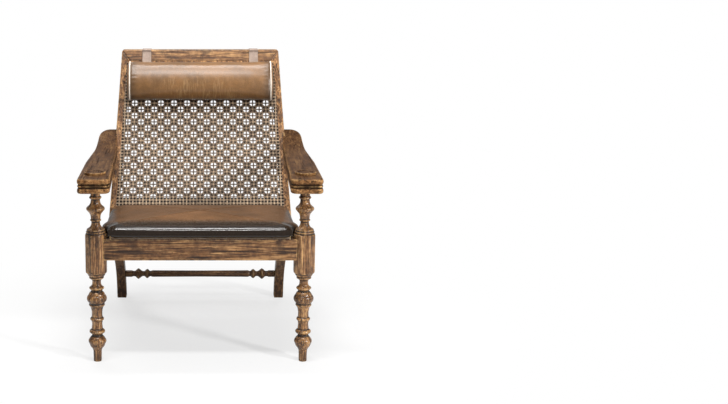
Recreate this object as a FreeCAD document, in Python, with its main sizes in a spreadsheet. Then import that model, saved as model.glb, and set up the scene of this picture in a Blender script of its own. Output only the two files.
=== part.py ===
import FreeCAD, Part
import math
import os
import re
import Sketcher
from FreeCAD import Placement, Rotation, Vector

# A planters chair: turned front legs, scooped cane back on swept rear posts, broad moulded arms,
# an upholstered seat and a leather head roll that hangs from two straps over the top rail.
# The chair faces -Y and stands on z = 0, with the front leg axes in the plane y = 0.
# Left and right are as seen from the front.

os.makedirs("parts", exist_ok=True)
doc = FreeCAD.newDocument("planters_chair")
sheet = doc.addObject("Spreadsheet::Sheet", "sizes")

driving = {
    # turned front legs and arm posts
    "leg_offset": 314,
    "block_flat": 63,
    "block_bottom": 277,
    "block_top": 400,
    "block_shoulder": 9,
    "ball_radius": 30,
    "post_bead_radius": 28,
    "arm_tenon_radius": 12,
    # arms
    "arm_height": 582,
    "arm_slope": 1.0,
    "arm_thickness": 45,
    "arm_nose": 85,
    "arm_outer": 361,
    "arm_inner_front": 265,
    "arm_inner_rear": 279,
    "arm_taper": 8,
    "arm_taper_start": 200,
    "arm_sweep_start": 400,
    "arm_sweep_radius": 345,
    "arm_sweep_end": 31,
    "arm_front_corner": 14,
    "arm_inner_corner": 22,
    "arm_rear_corner": 38,
    "arm_torus": 18,
    "arm_groove": 1.6,
    "arm_groove_depth": 3.5,
    "arm_bead": 6.6,
    "arm_bead_depth": 0.8,
    "arm_rim": 2.5,
    "arm_rim_depth": 1.6,
    # roundels on the arms
    "roundel_radius": 32,
    "roundel_height": 7,
    # seat frame
    "rail_top": 386,
    "rail_height": 65,
    "rail_thickness": 24,
    "rail_setback": 9,
    "side_rail_outer": 303,
    "side_rail_thickness": 22,
    "rear_rail_front": 400,
    "rear_rail_thickness": 22,
    "rear_rail_height": 46,
    "rail_end": 400,
    "rail_sweep": 50,
    "seat_fall_rate": 0.04,
    "tenon_length": 22,
    "tenon_thickness": 10,
    "tenon_height": 38,
    "corner_block_leg": 66,
    "corner_block_height": 36,
    "corner_block_drop": 9,
    # seat board, pad and dust cover
    "board_thickness": 12,
    "board_inset": 9.2,
    "board_tail": 18,
    "pad_half_width": 298,
    "pad_overhang": 5.5,
    "pad_length": 440,
    "pad_edge": 29,
    "pad_crown": 48,
    "pad_draw": 2.5,
    "notch_margin": 1.5,
    "seam_width": 3.5,
    "seam_depth": 1.2,
    "welt_width": 8,
    "welt_inset": 0.6,
    "welt_height": 4,
    "dust_cover_thickness": 0.8,
    "soft_gap": 0.3,
    # swept rear posts
    "knee_y": 379,
    "knee_z": 365,
    "recline": 34.8,
    "back_radius": 2330,
    "back_top": 904,
    "stile_depth": 38,
    "stile_width": 30,
    "foot_width": 33,
    "seat_half": 304.5,
    "top_half": 273,
    "foot_half": 302,
    "leg_rake": 46.5,
    "foot_sweep": 175,
    "knee_round": 30,
    "hollow_round": 45,
    "top_corner": 8,
    # back rails, cane and spline
    "top_rail_face": 37,
    "rail_lap": 12,
    "back_rail_depth": 26,
    "lower_rail_bottom": 387,
    "lower_rail_height": 36,
    "lower_rail_face": 7,
    "stile_face": 14.5,
    "bed_depth": 3,
    "spline_width": 5.7,
    "cane_thickness": 2.2,
    "cane_pitch": 45.25,
    "cane_gap": 16.5,
    "cane_side_border": 9,
    "cane_end_border": 30,
    # rear stretcher
    "stretcher_z": 92,
    "stretcher_bead": 19.5,
    "stretcher_tenon_radius": 9,
    "stretcher_tenon_length": 24,
    # head roll, straps and their hinge line
    "roll_length": 500,
    "roll_height": 134,
    "roll_thickness": 76,
    "roll_centre": 790,
    "roll_gap": 2.5,
    "piping_radius": 2.4,
    "piping_inset": 9,
    "strap_offset": 186,
    "strap_width": 31,
    "strap_thickness": 3,
    "strap_gap": 0.5,
    "strap_end": 800,
    "strap_tail": 40,
    "saddle_thickness": 2.4,
    "eye_radius": 3.6,
    "pin_radius": 1.2,
    "pin_clearance": 0.3,
    "knuckle_share": 0.24,
    "stud_radius": 5,
    "stud_height": 2,
    "stud_length": 10,
    "stud_spacing": 15,
    # fasteners
    "screw_radius": 2.2,
    "screw_head_radius": 4.2,
    "screw_head_height": 2.6,
    "screw_length": 38,
    "seat_screw_length": 54,
    "arm_screw_length": 58,
    "dowel_radius": 4,
    "dowel_length": 38,
    "nail_radius": 1.8,
    "nail_height": 1,
    "nail_length": 14,
    "nail_offset": 269,
    "tack_radius": 4,
    "tack_height": 1,
    "tack_length": 7,
    "overrun": 20,
}
for row, (alias, value) in enumerate(driving.items(), 1):
    sheet.set(f"A{row}", alias)
    sheet.set(f"B{row}", str(value))
    sheet.setAlias(f"B{row}", alias)
doc.recompute()

parts = []
left, right = -1, 1
sides = (("left", left), ("right", right))
full_turn = 360
quarter = 90


def mm(alias):
    return float(sheet.get(alias))


def cell(text):
    """An expression whose plain names are cells of the sheet."""
    return re.sub(r"[a-z]\w*", lambda m: f"sizes.{m[0]}" if m[0] in driving else m[0], text)


def keep(shape_object, label):
    shape_object.Label = label
    parts.append(shape_object)
    return shape_object


def primitive(kind, name, sizes, place=("0", "0", "0"), turn=None):
    solid = doc.addObject(kind, name)
    if turn:
        solid.Placement = Placement(Vector(), turn)
    for prop, text in sizes.items():
        solid.setExpression(prop, cell(text))
    for axis, text in zip("xyz", place):
        solid.setExpression(f"Placement.Base.{axis}", cell(text))
    return solid


def box(name, sizes, place):
    return primitive("Part::Box", name, dict(zip(("Length", "Width", "Height"), sizes)), place)


def cylinder(name, radius, height, place, turn=None):
    return primitive("Part::Cylinder", name, {"Radius": radius, "Height": height}, place, turn)


def fuse(name, *solids):
    joined = doc.addObject("Part::MultiFuse", name)
    joined.Shapes = list(solids)
    return joined


def group(name, *solids):
    gathered = doc.addObject("Part::Compound", name)
    gathered.Links = list(solids)
    return gathered


def cut(name, base, tool):
    rest = doc.addObject("Part::Cut", name)
    rest.Base, rest.Tool = base, tool
    return rest


def feature(name, shape):
    solid = doc.addObject("Part::Feature", name)
    solid.Shape = shape
    solid.Placement = Placement()
    return solid


def sketch_on(body, name, role, corners, lift="0"):
    """A closed outline; a corner is (x, y, bulge), and a bulge bows the edge that ends there."""
    sketch = body.newObject("Sketcher::SketchObject", name)
    plane = [f for f in body.Origin.OriginFeatures if f.Role == role][0]
    sketch.AttachmentSupport = (plane, [""])
    sketch.MapMode = "FlatFace"
    sketch.setExpression("AttachmentOffset.Base.z", cell(lift))
    spots = [Vector(*[float(sketch.evalExpression(cell(t))) for t in c[:2]], 0) for c in corners]
    following = [(i + 1) % len(corners) for i in range(len(corners))]
    for i, j in enumerate(following):
        start, end, bulge = spots[i], spots[j], corners[j][2]
        if bulge:
            chord = end - start
            middle = (start + end) / 2 + Vector(chord.y, -chord.x, 0) * bulge
            arc = Part.Arc(start, middle, end) if bulge > 0 else Part.Arc(end, middle, start)
            sketch.addGeometry(arc, False)
        else:
            sketch.addGeometry(Part.LineSegment(start, end), False)
    flipped = [corners[j][2] < 0 for j in following]
    first = [2 if back else 1 for back in flipped]
    last = [1 if back else 2 for back in flipped]
    for i, j in enumerate(following):
        sketch.addConstraint(Sketcher.Constraint("Coincident", i, last[i], j, first[j]))
    for i, spot in enumerate(spots):
        for kind, text, at, axis in (
            ("DistanceX", corners[i][0], spot.x, -2),
            ("DistanceY", corners[i][1], spot.y, -1),
        ):
            if at == 0:
                sketch.addConstraint(Sketcher.Constraint("PointOnObject", i, first[i], axis))
                continue
            index = sketch.addConstraint(Sketcher.Constraint(kind, -1, 1, i, first[i], at))
            sketch.setExpression(f"Constraints[{index}]", cell(text))
    for i, j in enumerate(following):
        bulge = corners[j][2]
        if bulge:
            radius_share = (0.25 + bulge**2) / (2 * abs(bulge))
            run = " + ".join(f"(({corners[j][k]}) - ({corners[i][k]})) ^ 2" for k in (0, 1))
            radius = sketch.Geometry[i].Radius
            index = sketch.addConstraint(Sketcher.Constraint("Radius", i, radius))
            sketch.setExpression(f"Constraints[{index}]", cell(f"sqrt({run}) * {radius_share}"))
    return sketch


def turned(name, corners, lift="0"):
    """A turning about the body's Z axis; corners run from the lower end to the upper one."""
    body = doc.addObject("PartDesign::Body", name)
    outline = [("0", corners[0][1], 0), *corners, ("0", corners[-1][1], 0)]
    sketch = sketch_on(body, f"{name}_outline", "XZ_Plane", outline)
    turning = body.newObject("PartDesign::Revolution", f"{name}_turning")
    turning.Profile = sketch
    turning.ReferenceAxis = (sketch, ["V_Axis"])
    turning.Angle = full_turn
    body.setExpression("Placement.Base.z", cell(lift))
    return body


def padded(name, role, corners, length, lift="0"):
    """A straight prism on one of the body's planes."""
    body = doc.addObject("PartDesign::Body", name)
    sketch = sketch_on(body, f"{name}_outline", role, [(x, y, 0) for x, y in corners], lift)
    pad = body.newObject("PartDesign::Pad", f"{name}_pad")
    pad.Profile = sketch
    pad.setExpression("Length", cell(length))
    return body


def wire_of(*pieces):
    return Part.Wire([p if isinstance(p, Part.Edge) else p.toShape() for p in pieces])


def prism(corners, along):
    """The straight prism over a closed polygon of points."""
    return Part.Face(Part.makePolygon([*corners, corners[0]])).extrude(along)


# front legs: a lower turning, an octagonal block where the rails meet, and the arm post
lower_shares = [
    (0.0, 0.41, 0), (0.1, 0.43, 0), (0.165, 0.66, -0.12), (0.205, 0.81, 0.06),
    (0.258, 0.81, 0.2), (0.29, 0.56, 0.06), (0.312, 0.55, -0.1), (0.322, 0.66, 0),
    (0.36, 0.66, 0.4), (0.37, 0.57, 0), (0.4, 0.55, 0), (0.45, 0.55, -0.06),
    (0.466, 0.58, 0), (0.5, 0.58, 0.4), (0.51, 0.55, 0), (0.53, 0.54, 0),
    (0.617, 0.64, -0.05), (0.632, 0.74, 0), (0.653, 0.77, 0.3), (0.68, 0.89, -0.1),
    (0.755, 0.84, 0.22), (0.795, 0.59, 0.1), (0.81, 0.56, -0.1), (0.822, 0.69, 0),
    (0.845, 0.69, 0.35), (0.895, 0.45, -0.15), (0.92, 0.46, -0.08), (0.94, 0.68, -0.1),
    (0.962, 0.71, 0.3), (0.972, 0.8, 0), (1.0, 0.9, 0.12),
]
upper_shares = [
    (0.0, 0.96, 0), (0.012, 0.98, 0), (0.06, 0.98, 0.4), (0.068, 0.92, 0), (0.105, 0.92, 0.4),
    (0.118, 0.82, 0), (0.235, 0.48, -0.14), (0.268, 0.46, -0.1), (0.282, 0.52, 0),
    (0.318, 0.52, 0.45), (0.33, 0.51, 0), (0.352, 0.53, -0.1), (0.49, 0.8, -0.12),
    (0.512, 0.87, 0), (0.6, 0.87, 0.3), (0.62, 0.76, 0), (0.74, 0.51, -0.12),
    (0.768, 0.5, -0.1), (0.782, 0.57, 0), (0.83, 0.57, 0.4), (0.84, 0.53, 0), (1.0, 0.6, -0.06),
]
post_height = "(arm_height - arm_thickness - soft_gap - block_top)"
octagon = 8
octagon_turn = 22.5
octagon_share = 0.5 / math.cos(math.radians(octagon_turn))
shoulder_share = 0.45
leg_blanks, tenons = {}, {}
for side, sign in sides:
    axis = f"{sign} * leg_offset"
    lower = turned(
        f"lower_turning_{side}",
        [(f"ball_radius * {r}", f"block_bottom * {z}", b) for z, r, b in lower_shares],
    )
    upper = turned(
        f"upper_turning_{side}",
        [(f"post_bead_radius * {r}", f"{post_height} * {z}", b) for z, r, b in upper_shares],
        "block_top",
    )
    barrel = turned(
        f"barrel_{side}",
        [
            (f"block_flat * {shoulder_share}", "block_bottom", 0),
            (f"block_flat * {octagon_share}", "block_bottom + block_shoulder", 0.12),
            (f"block_flat * {octagon_share}", "block_top - block_shoulder / 2", 0),
            (f"block_flat * {shoulder_share * 1.04}", "block_top", 0.12),
        ],
    )
    prism_blank = primitive(
        "Part::Prism",
        f"octagon_{side}",
        {
            "Circumradius": f"block_flat * {octagon_share}",
            "Height": "block_top - block_bottom",
        },
        (axis, "0", "block_bottom"),
        Rotation(Vector(0, 0, 1), octagon_turn),
    )
    prism_blank.Polygon = octagon
    for body in (lower, upper, barrel):
        body.setExpression("Placement.Base.x", cell(axis))
    block = doc.addObject("Part::MultiCommon", f"block_{side}")
    block.Shapes = [prism_blank, barrel]
    tenon = cylinder(
        f"arm_tenon_{side}",
        "arm_tenon_radius",
        "arm_thickness * 0.93",
        (axis, "0", "arm_height - arm_thickness - soft_gap"),
    )
    tenons[sign] = tenon
    leg_blanks[sign] = fuse(f"leg_blank_{side}", lower, block, upper, tenon)


# the scoop of the back: circles about one centre line in front of the chair
back_radius, recline = mm("back_radius"), math.radians(mm("recline"))
knee = Vector(0, mm("knee_y"), mm("knee_z"))
scoop_centre = knee + Vector(0, -math.cos(recline), math.sin(recline)) * back_radius


def lean(height):
    """The back's angle from the vertical where its front face stands at this height."""
    return math.asin((scoop_centre.z - height) / back_radius)


def back_point(depth, angle, x=0):
    reach = back_radius + depth
    return scoop_centre + Vector(x, reach * math.cos(angle), -reach * math.sin(angle))


def back_arc(depth, start, end):
    spots = [back_point(depth, a) for a in (start, (start + end) / 2, end)]
    return Part.Arc(*spots)


def back_band(near, far, low, high):
    """A slab that follows the scoop, from one depth to another, between two heights."""
    a, b = lean(low), lean(high)
    outline = wire_of(
        back_arc(near, a, b),
        Part.LineSegment(back_point(near, b), back_point(far, b)),
        back_arc(far, b, a),
        Part.LineSegment(back_point(far, a), back_point(near, a)),
    )
    wide = mm("arm_outer")
    slab = Part.Face(outline).extrude(Vector(2 * wide, 0, 0))
    slab.translate(Vector(-wide, 0, 0))
    return slab


depth_reach = mm("knee_y") + mm("back_radius")


def front_cut(corners):
    """Everything behind an outline given in x and z."""
    flat = [Vector(x, -depth_reach, z) for x, z in corners]
    return prism(flat, Vector(0, 2 * depth_reach, 0))


def mirrored(shape):
    return shape.mirror(Vector(), Vector(1, 0, 0))


def post_outer(height):
    """Half the width across the posts at a height."""
    if height < mm("knee_z"):
        share = height / mm("knee_z")
        return mm("foot_half") + (mm("seat_half") - mm("foot_half")) * share
    share = (height - mm("knee_z")) / (mm("back_top") - mm("knee_z"))
    return mm("seat_half") + (mm("top_half") - mm("seat_half")) * share


# rear posts: the stile and the raking leg are sawn in one piece, with a knee at the seat
rake = math.radians(mm("leg_rake"))
stile_depth = mm("stile_depth")
foot_sweep = mm("foot_sweep")
leg_down = Vector(0, math.sin(rake), -math.cos(rake))
leg_back = Vector(0, math.cos(rake), math.sin(rake))
stile_up = Vector(0, math.sin(recline), math.cos(recline))
stile_back = Vector(0, math.cos(recline), -math.sin(recline))
straight_leg = (mm("knee_z") - foot_sweep * math.sin(rake)) / math.cos(rake)
sweep_start = knee + leg_down * straight_leg
sweep_centre = sweep_start - leg_back * foot_sweep
inner_knee = knee + (stile_back + leg_back) * stile_depth / (1 + stile_back.dot(leg_back))


def rounded_corner(corner, radius, along_a, along_b):
    """The arc that rounds a corner whose sides leave along two directions."""
    half = along_a.getAngle(along_b) / 2
    tangent = radius / math.tan(half)
    bisector = (along_a + along_b).normalize()
    middle = corner + bisector * (radius / math.sin(half) - radius)
    return corner + along_a * tangent, middle, corner + along_b * tangent


def sweep_point(reach, angle):
    return sweep_centre + Vector(0, math.cos(angle), math.sin(angle)) * reach


def sweep_arc(reach):
    return Part.Arc(*[sweep_point(reach, a) for a in (rake, rake / 2, 0)])


back_top = mm("back_top")
top_lean = lean(back_top + mm("overrun"))
front_start, front_middle, front_end = rounded_corner(knee, mm("knee_round"), stile_up, leg_down)
rear_start, rear_middle, rear_end = rounded_corner(inner_knee, mm("hollow_round"), stile_up, leg_down)
front_lean = math.atan2(scoop_centre.z - front_start.z, front_start.y - scoop_centre.y)
rear_lean = math.atan2(scoop_centre.z - rear_start.z, rear_start.y - scoop_centre.y)
front_join, rear_join = back_point(0, front_lean), back_point(stile_depth, rear_lean)
post_profile = wire_of(
    back_arc(0, top_lean, front_lean),
    Part.Arc(front_join, front_middle, front_end),
    Part.LineSegment(front_end, sweep_start),
    sweep_arc(foot_sweep),
    Part.LineSegment(sweep_point(foot_sweep, 0), sweep_point(foot_sweep + stile_depth, 0)),
    Part.Arc(
        *[sweep_point(foot_sweep + stile_depth, a) for a in (0, rake / 2, rake)]
    ),
    Part.LineSegment(sweep_point(foot_sweep + stile_depth, rake), rear_end),
    Part.Arc(rear_end, rear_middle, rear_join),
    back_arc(stile_depth, rear_lean, top_lean),
    Part.LineSegment(back_point(stile_depth, top_lean), back_point(0, top_lean)),
)
rail_low = back_top - mm("top_rail_face")
stile_width = mm("stile_width")
corner = mm("top_corner")
tip = post_outer(back_top)
round_start, round_end = (tip, back_top - corner), (tip - corner, back_top)
mitre_inner = (post_outer(rail_low) - stile_width, rail_low)
corner_middle = (tip - corner * (1 - math.sqrt(0.5)), back_top - corner * (1 - math.sqrt(0.5)))


def behind(wire_edges):
    return Part.Face(Part.Wire(wire_edges)).extrude(Vector(0, 2 * depth_reach, 0))


def flat_spot(xz):
    return Vector(xz[0], -depth_reach, xz[1])


back_outline = behind(
    [
        Part.LineSegment(flat_spot(a), flat_spot(b)).toShape()
        for a, b in (
            ((-mm("foot_half"), 0), (mm("foot_half"), 0)),
            ((mm("foot_half"), 0), (mm("seat_half"), mm("knee_z"))),
            ((mm("seat_half"), mm("knee_z")), round_start),
        )
    ]
    + [Part.Arc(*[flat_spot(s) for s in (round_start, corner_middle, round_end)]).toShape()]
    + [Part.LineSegment(flat_spot(round_end), flat_spot((-round_end[0], back_top))).toShape()]
    + [
        Part.Arc(
            *[flat_spot((-x, z)) for x, z in (round_end, corner_middle, round_start)]
        ).toShape()
    ]
    + [
        Part.LineSegment(flat_spot(a), flat_spot(b)).toShape()
        for a, b in (
            ((-round_start[0], round_start[1]), (-mm("seat_half"), mm("knee_z"))),
            ((-mm("seat_half"), mm("knee_z")), (-mm("foot_half"), 0)),
        )
    ]
)
post_window = front_cut(
    [
        (mm("foot_half") - mm("foot_width"), 0),
        (mm("foot_half"), 0),
        (mm("seat_half"), mm("knee_z")),
        (tip, back_top),
        mitre_inner,
        (mm("seat_half") - stile_width, mm("knee_z")),
    ]
)
post_width = Vector(2 * mm("seat_half"), 0, 0)
post_blank = Part.Face(post_profile).extrude(post_width).common(post_window).common(back_outline)


# the cane lies in a shallow bed on the front of the posts and rails, with a spline all round
bed_low = mm("lower_rail_bottom") + mm("lower_rail_face")
bed_high = rail_low


def bed_outline(inset):
    low, high = bed_low + inset, bed_high - inset
    half_low, half_high = (post_outer(z) - mm("stile_face") - inset for z in (low, high))
    return front_cut([(-half_low, low), (half_low, low), (half_high, high), (-half_high, high)])


bed_depth = mm("bed_depth")
bed = back_band(-bed_depth, bed_depth, bed_low, bed_high).common(bed_outline(0))
frame_band = back_band(0, bed_depth, bed_low, bed_high)
spline = frame_band.common(bed_outline(0)).cut(bed_outline(mm("spline_width")))
cane_sheet = back_band(
    bed_depth - mm("cane_thickness"), bed_depth, bed_low, bed_high
).common(bed_outline(mm("spline_width")))


def cane_cells():
    """Square gaps in every second cell of the star weave, clear of the plain borders."""
    cell_size, gap = mm("cane_pitch") / 2, mm("cane_gap")
    low = bed_low + mm("spline_width") + mm("cane_end_border")
    high = bed_high - mm("spline_width") - mm("cane_side_border")
    angle, row, holes = lean(low), 0, []
    step = cell_size / back_radius
    while back_point(0, angle - (gap + cell_size) / 2 / back_radius).z < high:
        centre = angle - cell_size / 2 / back_radius
        spot = back_point(0, centre)
        inside = post_outer(spot.z) - mm("stile_face") - mm("spline_width") - mm("cane_side_border")
        count = int(inside / cell_size) + 1
        for column in range(-count, count + 1):
            x = column * cell_size
            if (column + row) % 2 == 0 and abs(x) + gap / 2 < inside:
                half = gap / 2 / back_radius
                low_z, high_z = (back_point(0, centre + s * half).z for s in (1, -1))
                a, b = x - gap / 2, x + gap / 2
                holes.append(((a, low_z), (b, low_z), (b, high_z), (a, high_z)))
        angle -= step
        row += 1
    return holes


cane_holes = cane_cells()
cane_sheet = cane_sheet.cut(Part.makeCompound([front_cut(hole) for hole in cane_holes]))
print("cane gaps", len(cane_holes))

rear_rail_depth = mm("back_rail_depth")
round_centre = Vector(tip - corner, 0, back_top - corner)
mitre_start = Vector(mitre_inner[0], 0, mitre_inner[1])
mitre_run = Vector(tip, 0, back_top) - mitre_start
to_start = mitre_start - round_centre
a, b, c = mitre_run.dot(mitre_run), mitre_run.dot(to_start), to_start.dot(to_start) - corner**2
mitre_end = mitre_start + mitre_run * ((-b + math.sqrt(b * b - a * c)) / a)
mitre_tip = (mitre_end.x, mitre_end.z)
half_angle = math.atan2(mitre_end.x - round_centre.x, mitre_end.z - round_centre.z) / 2
arc_middle = (
    round_centre.x + corner * math.sin(half_angle),
    round_centre.z + corner * math.cos(half_angle),
)
window_ring = [
    (mitre_inner[0], rail_low - mm("rail_lap")),
    mitre_inner,
    mitre_tip,
    round_end,
]
window_lines = list(zip(window_ring[:2], window_ring[1:3]))
window_lines += [((-b[0], b[1]), (-a[0], a[1])) for a, b in window_lines]
window_lines.append((round_end, (-round_end[0], round_end[1])))
window_lines.append(((-mitre_inner[0], rail_low - mm("rail_lap")), window_ring[0]))
window_arcs = [(mitre_tip, arc_middle, round_end)]
window_arcs += [tuple((-x, z) for x, z in reversed(arc)) for arc in window_arcs]
edges = [Part.LineSegment(flat_spot(a), flat_spot(b)).toShape() for a, b in window_lines]
edges += [Part.Arc(*[flat_spot(spot) for spot in arc]).toShape() for arc in window_arcs]
rail_window = behind(Part.__sortEdges__(edges))
top_rail = back_band(0, rear_rail_depth, rail_low - mm("rail_lap"), back_top + mm("overrun"))
top_rail = top_rail.common(rail_window).cut(bed)
lower_low = mm("lower_rail_bottom")
lower_high = lower_low + mm("lower_rail_height")
inner_low, inner_high = (post_outer(z) - stile_width for z in (mm("knee_z"), back_top))
between_posts = [(inner_low, mm("knee_z")), (inner_high, back_top)]
between_posts += [(-x, z) for x, z in reversed(between_posts)]
lower_rail = back_band(0, rear_rail_depth, lower_low, lower_high).common(front_cut(between_posts))
lower_rail = lower_rail.cut(post_blank).cut(mirrored(post_blank)).cut(bed)
post_blanks = {
    right: feature("post_blank_right", post_blank.cut(bed)),
    left: feature("post_blank_left", mirrored(post_blank.cut(bed))),
}

# seat rails, scribed to the legs and posts and tenoned into them
rail_front = "(rail_setback - block_flat / 2)"
fall = "seat_fall_rate"
block_inner = "(leg_offset - block_flat / 2)"


def rail_level(y, drop="0"):
    return f"rail_top - ({y} - {rail_front}) * {fall} - ({drop})"


front_back = f"{rail_front} + rail_thickness"
front_blank = padded(
    "front_rail_blank",
    "YZ_Plane",
    [
        (rail_front, rail_level(rail_front)),
        (rail_front, rail_level(rail_front, "rail_height")),
        (front_back, rail_level(rail_front, "rail_height")),
        (front_back, rail_level(front_back)),
    ],
    "2 * leg_offset",
    "-leg_offset",
)
side_y = "block_flat / 4"
side_blanks, side_tenons, front_tenons = {}, {}, {}
for side, sign in sides:
    inner = "side_rail_outer - side_rail_thickness" if sign == right else "-side_rail_outer"
    side_blanks[sign] = padded(
        f"side_rail_blank_{side}",
        "YZ_Plane",
        [
            (side_y, rail_level(side_y, "rail_height")),
            ("rail_end + rail_sweep", rail_level("rail_end + rail_sweep", "rail_height")),
            ("rail_end", rail_level("rail_end")),
            (side_y, rail_level(side_y)),
        ],
        "side_rail_thickness",
        inner,
    )
    middle = f"{sign} * (side_rail_outer - side_rail_thickness / 2) - tenon_thickness / 2"
    low = "rail_top - rail_height / 2 - tenon_height / 2"
    front_low = f"{low} - block_flat * {fall}"
    rear_low = f"{low} - knee_y * {fall}"
    side_tenons[sign] = (
        box(
            f"side_tenon_front_{side}",
            ("tenon_thickness", "block_flat / 2", "tenon_height"),
            (middle, f"{front_back} + soft_gap", front_low),
        ),
        box(
            f"side_tenon_rear_{side}",
            ("tenon_thickness", "2.5 * tenon_length", "tenon_height"),
            (middle, "knee_y", rear_low),
        ),
    )
    front_tenons[sign] = box(
        f"front_tenon_{side}",
        ("tenon_length", "tenon_thickness", "tenon_height"),
        (
            block_inner if sign == right else f"-{block_inner} - tenon_length",
            f"{rail_front} + rail_thickness / 2 - tenon_thickness / 2",
            low,
        ),
    )
rear_top = rail_level("rear_rail_front + rear_rail_thickness")
rear_blank = padded(
    "rear_rail_blank",
    "YZ_Plane",
    [
        ("rear_rail_front", f"{rear_top} - rear_rail_height"),
        ("rear_rail_front + rear_rail_thickness", f"{rear_top} - rear_rail_height"),
        ("rear_rail_front + rear_rail_thickness", rear_top),
        ("rear_rail_front", rail_level("rear_rail_front")),
    ],
    "2 * (seat_half - stile_width)",
    "stile_width - seat_half",
)

# glued corner blocks with their screws, and the screws that hold the seat board
corner_blanks, corner_screws, seat_screws = {}, [], []
far_share, near_share, upright_share = 0.62, 0.38, 0.25
front_inner, rear_inner = front_back, "rear_rail_front"
side_inner = "(side_rail_outer - side_rail_thickness)"
along_x = Rotation(Vector(0, 1, 0), quarter)


def screw(name, length, place, turn):
    """A countersunk screw; its head starts at the place and its shank runs on from there."""
    shank = cylinder(f"{name}_shank", "screw_radius", length, ("0", "0", "0"))
    head = primitive(
        "Part::Cone",
        f"{name}_head",
        {"Radius1": "screw_head_radius", "Radius2": "screw_radius", "Height": "screw_head_height"},
    )
    whole = fuse(name, shank, head)
    whole.Placement = Placement(Vector(), turn)
    for axis, text in zip("xyz", place):
        whole.setExpression(f"Placement.Base.{axis}", cell(text))
    return whole


for end, face, inward in (("front", front_inner, 1), ("rear", rear_inner, -1)):
    top = rail_level(face, "corner_block_drop")
    for side, sign in sides:
        name = f"{end}_{side}"
        ins = f"{sign} * {side_inner}"
        tip_x = f"{sign} * ({side_inner} - corner_block_leg)"
        tip_y = f"{face} + {inward} * corner_block_leg"
        ring = [(ins, face), (ins, tip_y), (tip_x, face)]
        if sign * inward < 0:
            ring.reverse()
        corner_blanks[name] = padded(
            f"corner_blank_{name}", "XY_Plane", ring, "corner_block_height", f"{top} - corner_block_height"
        )
        middle_z = f"{top} - corner_block_height / 2"
        across = f"{sign} * ({side_inner} - corner_block_leg * {far_share})"
        along = f"{face} + {inward} * corner_block_leg * {far_share}"
        slope_x = f"{sign} * ({side_inner} - corner_block_leg * {near_share})"
        slope_y = f"{face} + {inward} * corner_block_leg * {near_share}"
        toward_y = Rotation(Vector(1, 0, 0), quarter if inward > 0 else -quarter)
        toward_x = Rotation(Vector(0, 1, 0), quarter * sign)
        for kind, place, turn in (
            ("y", (across, slope_y, middle_z), toward_y),
            ("x", (slope_x, along, middle_z), toward_x),
        ):
            corner_screws.append(screw(f"screw_{kind}_{name}", "screw_length", place, turn))
        place = (
            f"{sign} * ({side_inner} - corner_block_leg * {upright_share})",
            f"{face} + {inward} * corner_block_leg * {upright_share}",
            f"{top} - corner_block_height",
        )
        seat_screws.append(screw(f"screw_z_{name}", "seat_screw_length", place, Rotation()))
corner_screw_group = keep(group("corner_screws", *corner_screws), "corner_block_screws")
seat_screw_group = keep(group("seat_screws", *seat_screws), "seat_board_screws")

# dowels between the back rails and the posts, and between the rear seat rail and the posts
dowels = []
doc.recompute()
for name, height, depth in (
    ("top", rail_low - mm("rail_lap") / 2, rear_rail_depth / 2),
    ("lower", (lower_low + lower_high) / 2, rear_rail_depth / 2),
):
    spot = back_point(depth, lean(height))
    for side, sign in sides:
        start = post_outer(height) - stile_width - mm("dowel_length") / 2
        dowel = Part.makeCylinder(
            mm("dowel_radius"), mm("dowel_length"), Vector(start, spot.y, spot.z), Vector(1, 0, 0)
        )
        dowels.append(dowel if sign == right else mirrored(dowel))
back_dowels = keep(feature("back_dowels", Part.makeCompound(dowels)), "back_rail_dowels")
seat_dowels = []
for side, sign in sides:
    for level, share in (("low", 0.35), ("high", 0.2)):
        seat_dowels.append(
            cylinder(
                f"seat_dowel_{level}_{side}",
                "dowel_radius",
                "dowel_length",
                (
                    f"{sign} * (seat_half - stile_width) - dowel_length * {0.5 + sign * 0.2}",
                    "rear_rail_front + rear_rail_thickness * 0.7",
                    f"{rear_top} - rear_rail_height * {share}",
                ),
                along_x,
            )
        )
seat_dowel_group = keep(group("seat_dowels", *seat_dowels), "rear_rail_dowels")

# arm screws run from the inside of each post, behind the cane, into the arm
arm_level = mm("arm_height") + mm("arm_thickness") / 4
arm_screws = []
for side, sign in sides:
    spot = back_point(stile_depth / 2, lean(arm_level))
    inside = post_outer(arm_level) - stile_width
    start, length = Vector(inside, spot.y, spot.z), mm("arm_screw_length")
    shank = Part.makeCylinder(mm("screw_radius"), length, start, Vector(1, 0, 0))
    head = Part.makeCone(
        mm("screw_head_radius"), mm("screw_radius"), mm("screw_head_height"), start, Vector(1, 0, 0)
    )
    whole = shank.fuse(head)
    arm_screws.append(whole if sign == right else mirrored(whole))
arm_screw_group = keep(feature("arm_screws", Part.makeCompound(arm_screws)), "arm_screws")

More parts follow.
